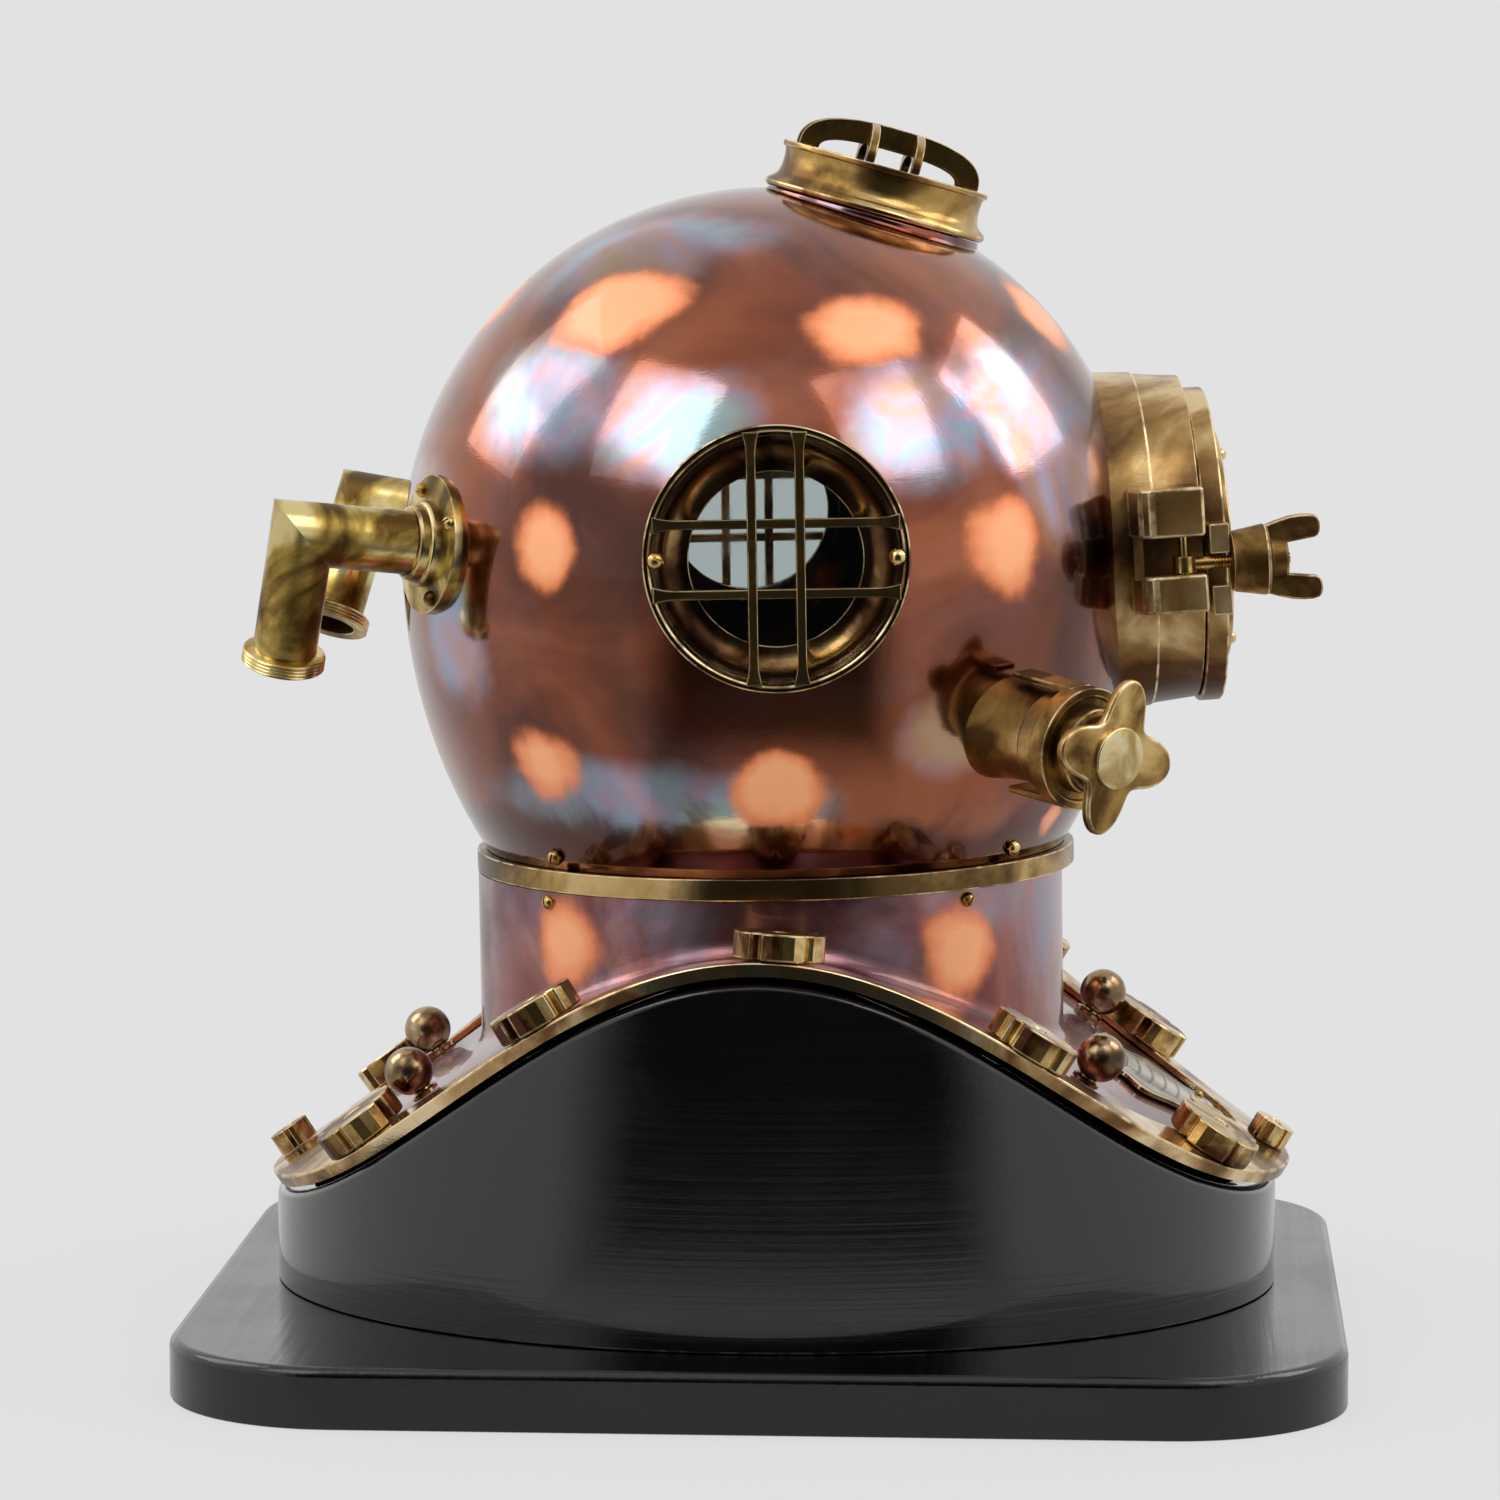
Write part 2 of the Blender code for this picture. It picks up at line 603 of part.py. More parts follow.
def add_top_port(clearance):
    """The top window: a copper collar, the waisted brass frame, its glass and its arched guard."""
    frame = BONNET @ facing(0, TOP_PORT_LEAN, TOP_PORT_ORIGIN)
    collar = add_piece("top_port_collar", turned([(0.0398, 0.1440), (0.0474, 0.1440), (0.0466, 0.1527),
                                                  (0.0398, 0.1527)], 28), COPPER, frame)
    cut(collar, clearance)
    profile = [(0.0398, 0.1530), (0.0466, 0.1530), (0.0481, 0.1539), (0.0483, 0.1552), (0.0472, 0.1568),
               (0.0446, 0.1588), (0.0431, 0.1650), (0.0434, 0.1715), (0.0446, 0.1717),
               (0.0446, 0.1735), (0.0366, 0.1735), (0.0366, 0.1606), (0.0392, 0.1606)]
    cut(add_piece("top_port_frame", turned(profile, 28), BRASS, frame), clearance)
    add_piece("top_glass", rod(0.0388, 0.1558, 0.1602, 24), GLASS, frame, 0.03)
    lengthwise, cross = TOP_BAR_OFFSETS
    guard = None
    for spin, offset in ((90, lengthwise), (90, -lengthwise), (0, cross), (0, -cross)):
        half = math.sqrt(0.0412 ** 2 - offset ** 2)
        arch = guard_arch(half, offset, spin, "top_guard" if guard is None else "guard_arch", frame)
        if guard is None:
            guard = arch
        else:
            cut(guard, arch, "UNION")


def add_front_window(clearance):
    """The front window: its housing with the bolt's bracket, the round door, its glass and its keeper ring."""
    frame = BONNET @ facing(0, WINDOW_LIFT, WINDOW_ORIGIN)
    wall = [(0.0590, 0.1250), (0.0738, 0.1250), (0.0716, 0.1585), (0.0708, 0.1592), (0.0690, HOUSING_FRONT),
            (0.0590, HOUSING_FRONT)]
    housing = add_piece("window_housing", turned(wall, 36), BRASS, frame)
    block = prism(box_outline(-0.0865, -0.0640, -0.0255, 0.0270), 0.1475, HOUSING_FRONT - 0.0004, 0.0012)
    cut(housing, add_piece("bracket_block", block, BRASS, frame), "UNION")
    slot = prism(box_outline(-0.0950, -0.0728, *SLOT_Y), 0.1515, 0.1850)
    cut(housing, add_piece("bracket_slot", slot, BRASS, frame))
    pivot = frame @ Matrix.Translation((BOLT_X, 0, BOLT_PIVOT_Z)) @ Matrix.Rotation(-math.pi / 2, 4, "X")
    cut(housing, add_piece("pin_bore", rod(0.0023, -0.040, 0.040, 12), BRASS, pivot))
    add_piece("bolt_pin", rod(0.0020, -0.0250, 0.0225, 12), BRASS, pivot)

    back, front = HOUSING_FRONT + 0.0006, HOUSING_FRONT + 0.0006 + DOOR_THICK
    hung = frame @ Matrix.Translation((0, -DOOR_DROP, 0))
    ring = [(0.0470, back), (WINDOW_RADIUS - 0.0006, back), (WINDOW_RADIUS, back + 0.0006),
            (WINDOW_RADIUS, front - 0.0010), (WINDOW_RADIUS - 0.0010, front), (0.0505, front),
            (0.0505, front - 0.0052), (0.0470, front - 0.0052)]
    door = add_piece("door", turned(ring, 36), BRASS, hung)
    low, high = FORK_Y
    for name, lowest, highest in (("upper_lug", high, high + LUG_HEIGHT), ("lower_lug", low - LUG_HEIGHT, low)):
        lug = prism(box_outline(BOLT_X - LUG_REACH, -0.0560, lowest, highest), back + 0.0006, front - 0.0004,
                    0.0006)
        cut(door, add_piece(name, lug, BRASS, frame), "UNION")
    hinge = frame @ Matrix.Translation((HINGE_X, 0, back + 0.0045)) @ Matrix.Rotation(-math.pi / 2, 4, "X")
    for name, lowest, highest in (("low_knuckle", -0.0190, -0.0072), ("high_knuckle", 0.0072, 0.0190)):
        cut(door, add_piece(name, rod(0.0050, lowest, highest, 14), BRASS, hinge), "UNION")
        arm = prism(box_outline(0.0580, HINGE_X, lowest, highest), back + 0.0014, back + 0.0080)
        cut(door, add_piece(f"{name}_arm", arm, BRASS, frame), "UNION")
    cut(door, add_piece("door_hinge_bore", rod(0.0023, -0.03, 0.03, 12), BRASS, hinge))
    leaf = add_piece("hinge_leaf", prism(box_outline(0.0650, HINGE_X + 0.0040, -0.0062, 0.0062), 0.1500,
                                         back + 0.0030), BRASS, frame)
    cut(leaf, add_piece("leaf_knuckle", rod(0.0050, -0.0062, 0.0062, 14), BRASS, hinge), "UNION")
    cut(leaf, add_piece("leaf_hinge_bore", rod(0.0023, -0.03, 0.03, 12), BRASS, hinge))
    cut(leaf, add_piece("door_room", rod(WINDOW_RADIUS + 2 * GAP, HOUSING_FRONT, front + 0.01, 36), BRASS, hung))
    cut(housing, leaf, "UNION")
    cut(housing, add_piece("window_way", rod(0.0600, 0.10, 0.20, 36), BRASS, frame))
    cut(housing, clearance)
    add_piece("hinge_pin", rod(0.0020, -0.0200, 0.0200, 12), BRASS, hinge)

    add_piece("door_glass", rod(0.0501, front - 0.0049, front - 0.0001, 24), GLASS, hung, 0.03)
    keeper = [(0.0400, front + GAP), (0.0495, front + GAP), (0.0495, front + 0.0034), (0.0487, front + 0.0042),
              (0.0412, front + 0.0042), (0.0400, front + 0.0030)]
    add_piece("glass_keeper", turned(keeper, 28), BRASS, hung)
    return front


def add_swing_bolt(door_front):
    """The swing bolt that keeps the door shut, and its wing nut."""
    frame = BONNET @ facing(0, WINDOW_LIFT, WINDOW_ORIGIN)
    frame = frame @ Matrix.Translation((BOLT_X, -BOLT_DROP, BOLT_PIVOT_Z))
    seat = door_front - 0.0004 + NUT_SEAT_GAP - BOLT_PIVOT_Z
    bolt = add_piece("swing_bolt", rod(BOLT_RADIUS, 0.0024, seat + 0.0245, 14), BRASS, frame)
    across = frame @ Matrix.Rotation(-math.pi / 2, 4, "X")
    cut(bolt, add_piece("bolt_eye", rod(0.0050, -0.0035, 0.0035, 16), BRASS, across), "UNION")
    cut(bolt, add_piece("bolt_eye_bore", rod(0.0023, -0.01, 0.01, 12), BRASS, across))

    hub = [(0.0034, seat), (0.0118, seat), (0.0124, seat + 0.0006), (0.0148, seat + 0.0136),
           (0.0144, seat + 0.0148), (0.0088, seat + 0.0168), (0.0078, seat + 0.0235), (0.0034, seat + 0.0235)]
    nut = add_piece("wing_nut", turned(hub, 20), BRASS, frame)
    for sign, name in ((1, "upper_ear"), (-1, "lower_ear")):
        ear = [(seat + 0.0130, 0.0040), (seat + 0.0235, 0.0064), (seat + 0.0350, 0.0080),
               (seat + 0.0370, 0.0096), (seat + 0.0374, 0.0140), (seat + 0.0362, 0.0168),
               (seat + 0.0335, 0.0177), (seat + 0.0250, 0.0174), (seat + 0.0130, 0.0138)]
        outline = [(along, sign * across) for along, across in ear]
        upright = Matrix.Rotation(-math.pi / 2, 4, "Y")
        cut(nut, add_piece(name, prism(outline, -0.0026, 0.0026), BRASS, frame @ upright), "UNION")


def add_exhaust(clearance):
    """The exhaust valve: its body on the bonnet, the cap with two fingers, and the lobed knob."""
    frame = BONNET @ facing(EXHAUST_TURN, EXHAUST_LIFT, EXHAUST_FOOT)
    radius = EXHAUST_RADIUS
    body = [(0.0110, -0.0300), (radius + 0.0030, -0.0300), (radius, 0.0260), (radius + 0.0014, 0.0275),
            (radius + 0.0014, 0.0380), (0.0110, 0.0380)]
    piece = add_piece("exhaust_body", turned(body, 24), BRASS, frame)
    cut(piece, clearance)
    cap = [(0.0062, 0.0383), (0.0248, 0.0383), (0.0254, 0.0390), (0.0254, 0.0462), (0.0248, 0.0468),
           (0.0216, 0.0468), (0.0210, 0.0450), (0.0180, 0.0450), (0.0176, 0.0520), (0.0154, 0.0532),
           (0.0062, 0.0532)]
    cap_piece = add_piece("exhaust_cap", turned(cap, 24), BRASS, frame)
    for spin in (94.0, 274.0):
        finger = prism(box_outline(0.0228, 0.0252, -0.0058, 0.0058), 0.0070, 0.0420)
        cut(cap_piece, add_piece(f"cap_finger_{spin:.0f}", finger, BRASS,
                                 frame @ Matrix.Rotation(math.radians(spin), 4, "Z")), "UNION")
    outline = []
    for angle in np.linspace(0, math.tau, 32, endpoint=False):
        reach = 0.0250 + 0.0072 * math.cos(4 * angle)
        outline.append((reach * math.cos(angle), reach * math.sin(angle)))
    spin = Matrix.Rotation(math.radians(-13.0), 4, "Z")
    knob = add_piece("exhaust_knob", prism(outline, 0.0605, 0.0642, 0.0008), BRASS, frame @ spin)
    cut(knob, add_piece("knob_button", rod(0.0129, 0.0600, 0.0672, 20), BRASS, frame), "UNION")
    cut(knob, add_piece("knob_hub", rod(0.0110, 0.0536, 0.0620, 16), BRASS, frame), "UNION")
    cut(knob, add_piece("knob_spindle", rod(0.0054, 0.0420, 0.0600, 12), BRASS, frame), "UNION")


def elbow_tube(name, frame, face):
    """The bent tube as one swept pipe: square to the flange, one mitre, then the ringed mouth."""
    fold = math.radians(ELBOW_FOLD)
    out, down = Vector((0, 0, 1)), Vector((0, -math.cos(fold), -math.sin(fold)))
    bend = Vector((0, 0, face + ELBOW_REACH))
    halfway = (down + out).normalized()
    stations = [(Vector((0, 0, 0.1400)), out, 1.0, 0.0), (bend, halfway, 1.0 / halfway.dot(out), 0.0)]
    stations += [(bend + down * reach, down, 1.0, swell) for reach, swell in
                 ((ELBOW_DROP - 0.0068, 0.0), (ELBOW_DROP - 0.0060, 0.0040), (ELBOW_DROP, 0.0040))]
    steps = 16
    shape = bmesh.new()
    rings = []
    for bore, path in ((False, stations), (True, stations[::-1])):
        for centre, normal, stretch, swell in path:
            side = Vector((1, 0, 0))
            across = normal.cross(side).normalized() * stretch
            size = TUBE_BORE if bore else TUBE_RADIUS + swell
            rings.append([shape.verts.new(centre + side * size * math.cos(a) + across * size * math.sin(a))
                          for a in np.linspace(0, math.tau, steps, endpoint=False)])
    join_rows(shape, rings)
    return add_piece(name, shape, BRASS, frame)


def add_elbows(clearance):
    """The air elbows: each a flange, a level tube and a mitred tube pointing down, soldered in one."""
    face, inner = 0.1600, (TUBE_BORE + TUBE_RADIUS) / 2
    flange = [(inner, 0.1400), (0.0292, 0.1400), (0.0292, face - 0.0012), (0.0282, face),
              (0.0178, face + 0.0008), (0.0174, face + 0.0044), (0.0158, face + 0.0050),
              (0.0155, face + 0.0090), (inner, face + 0.0090)]
    for side, turn, lift, swing in ELBOWS:
        frame = BONNET @ facing(180 + turn, lift, ELBOW_ORIGIN) @ Matrix.Rotation(math.radians(swing), 4, "Z")
        elbow = add_piece(f"elbow_{side}", turned(flange, 20), BRASS, frame)
        cut(elbow, elbow_tube(f"elbow_tube_{side}", frame, face), "UNION")
        cut(elbow, clearance)


def build():
    """Build every piece of the helmet and its stand."""
    for old in list(bpy.data.objects):
        bpy.data.objects.remove(old, do_unlink=True)
    add_stand_plate()
    add_bust()
    add_breastplate()
    add_rim_strap()
    add_rim_nuts()
    add_ball_studs()
    add_nameplate()
    clearance = as_cutter(bonnet_clearance())
    add_bonnet()
    add_collar_ring()
    add_collar_screws()
    add_side_port("right", 90 + SIDE_PORT_SET_BACK, clearance)
    add_side_port("left", -90 - SIDE_PORT_SET_BACK, clearance)
    add_top_port(clearance)
    door_front = add_front_window(clearance)
    add_swing_bolt(door_front)
    add_exhaust(clearance)
    add_elbows(clearance)


build()
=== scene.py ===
"""The looks of a copper and brass diving helmet on its black display stand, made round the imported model.

Units are metres and +Z is up. The helmet faces -Y and its right side is -X. Each class builds one
sub-assembly in its own frame, where +Z points out of the helmet, and places it in the model's frame.
"""
import logging
import math
from dataclasses import dataclass, field
from enum import Enum
from typing import Callable, Iterable, Sequence

import bmesh
import bpy
from mathutils import Matrix, Vector


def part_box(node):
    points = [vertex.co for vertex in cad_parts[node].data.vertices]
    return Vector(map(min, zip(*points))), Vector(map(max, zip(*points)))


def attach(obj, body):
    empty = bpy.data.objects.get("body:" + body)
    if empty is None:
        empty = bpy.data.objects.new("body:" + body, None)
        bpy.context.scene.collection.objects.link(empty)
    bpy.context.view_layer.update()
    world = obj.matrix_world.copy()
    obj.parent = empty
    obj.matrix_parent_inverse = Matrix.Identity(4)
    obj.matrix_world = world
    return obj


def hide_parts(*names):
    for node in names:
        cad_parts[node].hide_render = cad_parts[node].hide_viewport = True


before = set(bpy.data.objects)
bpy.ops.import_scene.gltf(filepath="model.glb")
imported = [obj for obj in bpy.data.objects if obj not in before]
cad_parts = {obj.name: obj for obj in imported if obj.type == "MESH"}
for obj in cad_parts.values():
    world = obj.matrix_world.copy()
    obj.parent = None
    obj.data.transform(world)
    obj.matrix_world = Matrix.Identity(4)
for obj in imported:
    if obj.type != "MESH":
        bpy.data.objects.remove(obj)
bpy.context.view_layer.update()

LOG = logging.getLogger("helmet")
Point = tuple[float, float]
Colour = tuple[float, float, float]
Field = Callable[[Vector], float]
Node = bpy.types.Node
Socket = bpy.types.NodeSocket

GAP = 0.0003                     # between pieces that touch
SAME = 1e-6                      # points this close are one
EDGE = "edge"                    # face mark of a worn edge
SPOT = "spot"                    # distance from the nearest burnished spot, 1 at its border
TINT_AND_HIGHLIGHT = "tint"                    # distance from the nearest tint patch, 1 at its border; heat tint, and painted highlight colour where the lamps' highlights fall
HUE = "hue"                      # the tint's place among the film's colours
ACROSS, DOWN = "across", "down"  # places on the name plate, 0 to 1

SEAT_Z = 0.2047                  # underside of the collar ring
HELMET_TILT = math.radians(-0.9)
BONNET_TURN = math.radians(5.75)
BALL = Vector((0.0, 0.0, 0.3365))
BONNET_RADIUS = 0.158
BONNET_LOW_AXIS = 0.198
COPPER_THICK = 0.0020
RING_HEIGHT = 0.0092


class Body(Enum):
    """The rigid bodies that pieces ride on."""

    CORSELET = "corselet"
    BONNET = "bonnet"
    KNOB = "exhaust_knob"
    BOLT = "swing_bolt"
    NUT = "wing_nut"


class Side(Enum):
    """The helmet's own sides, with the sign of X there."""

    RIGHT = -1
    LEFT = 1

    @property
    def word(self) -> str:
        """The side's name in lower case."""
        return self.name.lower()


def facing(turn: float, lift: float, origin: Vector = BALL) -> Matrix:
    """A frame whose +Z points out of the helmet.

    Args:
        turn: degrees from the front towards the right side.
        lift: degrees above level.
        origin: the frame's own origin.

    Returns:
        The frame as a matrix.
    """
    turn, lift = math.radians(turn), math.radians(lift)
    out = Vector((-math.sin(turn) * math.cos(lift), -math.cos(turn) * math.cos(lift), math.sin(lift)))
    up = (Vector((0, 0, 1)) - out * out.z).normalized()
    return Matrix.Translation(origin) @ Matrix((up.cross(out), up, out)).transposed().to_4x4()


def spun(degrees: float, axis: str = "Z") -> Matrix:
    """A turn about an axis."""
    return Matrix.Rotation(math.radians(degrees), 4, axis)


def moved(x: float, y: float, z: float) -> Matrix:
    """A shift."""
    return Matrix.Translation((x, y, z))


CORSELET_FRAME = moved(0, 0, SEAT_Z) @ Matrix.Rotation(HELMET_TILT, 4, "X") @ moved(0, 0, -SEAT_Z)
BONNET_FRAME = CORSELET_FRAME @ Matrix.Rotation(BONNET_TURN, 4, "Z")


# Shapes


class Shape:
    """A mesh in the making, which keeps a mark on the faces of its worn edges."""

    def __init__(self) -> None:
        """Start an empty shape."""
        self.mesh = bmesh.new()
        self.mesh.faces.layers.float.new(EDGE)

    @classmethod
    def turned(cls, profile: Sequence[Point], steps: int = 96) -> "Shape":
        """Turn a closed profile about Z.

        Args:
            profile: (radius, height) points; ends on the axis stay open there.
            steps: how many steps go round.

        Returns:
            The turned shape.
        """
        shape = cls()
        points = [shape.mesh.verts.new((radius, 0.0, height)) for radius, height in profile]
        edges = [shape.mesh.edges.new(pair) for pair in zip(points, points[1:] + points[:1])
                 if max(pair[0].co.x, pair[1].co.x) > 0.0]
        bmesh.ops.spin(shape.mesh, geom=points + edges, axis=(0, 0, 1), cent=(0, 0, 0), angle=math.tau,
                       steps=steps, use_merge=True, use_duplicate=False)
        return shape.tidy()

    @classmethod
    def drum(cls, inner: float, outer: float, low: float, high: float, steps: int = 96) -> "Shape":
        """Turn a plain disc, or a ring with a bore, from one height to another."""
        return cls.turned([(inner, low), (outer, low), (outer, high), (inner, high)], steps)

    @classmethod
    def prism(cls, outline: Sequence[Point], low: float, high: float) -> "Shape":
        """Raise a flat outline.

        Args:
            outline: its (x, y) points.
            low: the height it starts from.
            high: the height it ends at.

        Returns:
            The solid shape.
        """
        shape = cls()
        shape.mesh.faces.new([shape.mesh.verts.new((x, y, low)) for x, y in outline])
        return shape.raised(high - low)

    @classmethod
    def block(cls, x: Point, y: Point, z: Point) -> "Shape":
        """A square-cornered block between its lower and upper limits."""
        return cls.prism(rectangle(*x, *y), *z)

    @classmethod
    def sheet(cls, columns: int, rows: int, place: Callable[[float, float], Vector]) -> "Shape":
        """Bend a flat grid.

        Args:
            columns: its cells across.
            rows: its cells up.
            place: gives the point for shares (u, v) of the grid's width and height.

        Returns:
            The bent sheet.
        """
        shape = cls()
        bmesh.ops.create_grid(shape.mesh, x_segments=columns, y_segments=rows, size=0.5)
        for corner in shape.mesh.verts:
            corner.co = place(corner.co.x + 0.5, corner.co.y + 0.5)
        return shape.tidy()

    def tidy(self) -> "Shape":
        """Close seams and poles and turn the faces outwards."""
        bmesh.ops.remove_doubles(self.mesh, verts=self.mesh.verts[:], dist=SAME)
        return self.outwards()

    def outwards(self) -> "Shape":
        """Turn the faces outwards."""
        bmesh.ops.recalc_face_normals(self.mesh, faces=self.mesh.faces[:])
        return self

    def raised(self, height: float) -> "Shape":
        """Raise the shape's one face into a solid.

        Args:
            height: how far it rises.

        Returns:
            The solid shape.
        """
        lifted = bmesh.ops.extrude_face_region(self.mesh, geom=self.mesh.faces[:])["geom"]
        corners = [item for item in lifted if isinstance(item, bmesh.types.BMVert)]
        bmesh.ops.translate(self.mesh, verts=corners, vec=(0, 0, height))
        return self.tidy()

    def thicken(self, wall: float) -> "Shape":
        """Give an open sheet a wall on its inner side."""
        bmesh.ops.solidify(self.mesh, geom=self.mesh.faces[:], thickness=wall)
        return self.outwards()

    def bevel(self, geom: Sequence[object], width: float, segments: int, affect: str = "EDGES") -> list:
        """Bevel some edges or corners and give the faces made."""
        return bmesh.ops.bevel(self.mesh, geom=geom, offset=width, segments=segments, profile=0.5,
                               affect=affect, material=-1, clamp_overlap=True)["faces"]

    def bevel_where(self, wanted: Callable[[Vector], bool], width: float, segments: int) -> "Shape":
        """Bevel the edges whose two ends are both wanted.

        Args:
            wanted: tells whether an end is.
            width: how far the bevel reaches on each face.
            segments: steps round the bevel.

        Returns:
            The same shape.
        """
        edges = [edge for edge in self.mesh.edges if all(wanted(end.co) for end in edge.verts)]
        self.bevel(edges, width, segments)
        return self

    def soften(self, width: float, segments: int = 2, angle: float = 30.0) -> "Shape":
        """Bevel the outward corners and mark them as worn.

        Args:
            width: how far the bevel reaches on each face.
            segments: steps round the bevel.
            angle: the least bend, in degrees, that counts as a corner.

        Returns:
            The same shape.
        """
        least = math.radians(angle)
        corners = [edge for edge in self.mesh.edges
                   if edge.is_manifold and edge.calc_face_angle_signed(0.0) > least]
        made = self.bevel(corners, width, segments)
        mark = self.mesh.faces.layers.float.get(EDGE) or self.mesh.faces.layers.float.new(EDGE)
        for face in made:
            face[mark] = 1.0
        return self

    def place(self, where: Matrix) -> "Shape":
        """Move the shape."""
        bmesh.ops.transform(self.mesh, matrix=where, verts=self.mesh.verts[:])
        return self

    def join(self, other: "Shape", where: Matrix = Matrix()) -> "Shape":
        """Add a copy of another shape.

        Args:
            other: the shape to copy.
            where: the frame it is put in.

        Returns:
            This shape.
        """
        holder = other.as_mesh("joined")
        holder.transform(where)
        self.mesh.from_mesh(holder)
        bpy.data.meshes.remove(holder)
        return self

    def take(self, other: "Shape", where: Matrix = Matrix()) -> "Shape":
        """Add another shape that isn't needed any more.

        Args:
            other: the shape, which is freed.
            where: the frame it is put in.

        Returns:
            This shape.
        """
        self.join(other, where)
        other.mesh.free()
        return self

    def as_mesh(self, name: str) -> bpy.types.Mesh:
        """The shape as a new mesh.

        Args:
            name: the mesh's name.

        Returns:
            The new mesh.
        """
        data = bpy.data.meshes.new(name)
        self.mesh.to_mesh(data)
        return data

    def field(self, name: str, value: Field) -> "Shape":
        """Give every point a number, as an attribute of the mesh.

        Args:
            name: the attribute's name.
            value: gives the number for a point.

        Returns:
            The same shape.
        """
        layer = self.mesh.verts.layers.float.new(name)
        for corner in self.mesh.verts:
            corner[layer] = value(corner.co)
        return self

    def carve(self, cutters: Iterable["Shape"]) -> "Shape":
        """Cut other shapes, which aren't needed any more, out of this one.

        Args:
            cutters: the shapes to cut out.

        Returns:
            The same shape.
        """
        block = bpy.data.objects.new("block", self.as_mesh("block"))
        tools = [bpy.data.objects.new("tool", cutter.as_mesh("tool")) for cutter in cutters]
        for item in [block, *tools]:
            show(item)
        for tool in tools:
            cut = block.modifiers.new("Cut", "BOOLEAN")
            cut.operation, cut.solver, cut.object = "DIFFERENCE", "EXACT", tool
        held = block.evaluated_get(bpy.context.evaluated_depsgraph_get()).to_mesh()
        self.mesh.clear()
        self.mesh.from_mesh(held)
        for item in [block, *tools]:
            data = item.data
            bpy.data.objects.remove(item)
            bpy.data.meshes.remove(data)
        for cutter in cutters:
            cutter.mesh.free()
        return self


def show(item: bpy.types.Object) -> None:
    """Put an object in the scene."""
    bpy.context.scene.collection.objects.link(item)


def arc(centre: Point, radius: float, start: float, stop: float, steps: int) -> list[Point]:
    """Points of an arc between two angles in degrees, both ends among them."""
    angles = [math.radians(start + (stop - start) * k / steps) for k in range(steps + 1)]
    return [(centre[0] + radius * math.cos(a), centre[1] + radius * math.sin(a)) for a in angles]


def rectangle(x_low: float, x_high: float, y_low: float, y_high: float) -> list[Point]:
    """A rectangle's corners, anticlockwise."""
    return [(x_low, y_low), (x_high, y_low), (x_high, y_high), (x_low, y_high)]


def slotted_screw(radius: float, steps: int = 24) -> Shape:
    """A domed screw head with a driver slot, its underside at height 0.

    Args:
        radius: the head's radius.
        steps: how many steps go round it.

    Returns:
        The head.
    """
    dome = [(0.0, -0.25 * radius), (radius, -0.25 * radius), (radius, 0.22 * radius)]
    dome += arc((0.0, -0.1 * radius), radius * 1.02, 28, 88, 7) + [(0.0, 0.92 * radius)]
    slot_wide, slot_low = 0.14 * radius, 0.42 * radius
    slot = Shape.block((-2 * radius, 2 * radius), (-slot_wide, slot_wide), (slot_low, 2.0 * radius))
    return Shape.turned(dome, steps).soften(0.08 * radius, 1, 50).carve([slot])


# Finishes


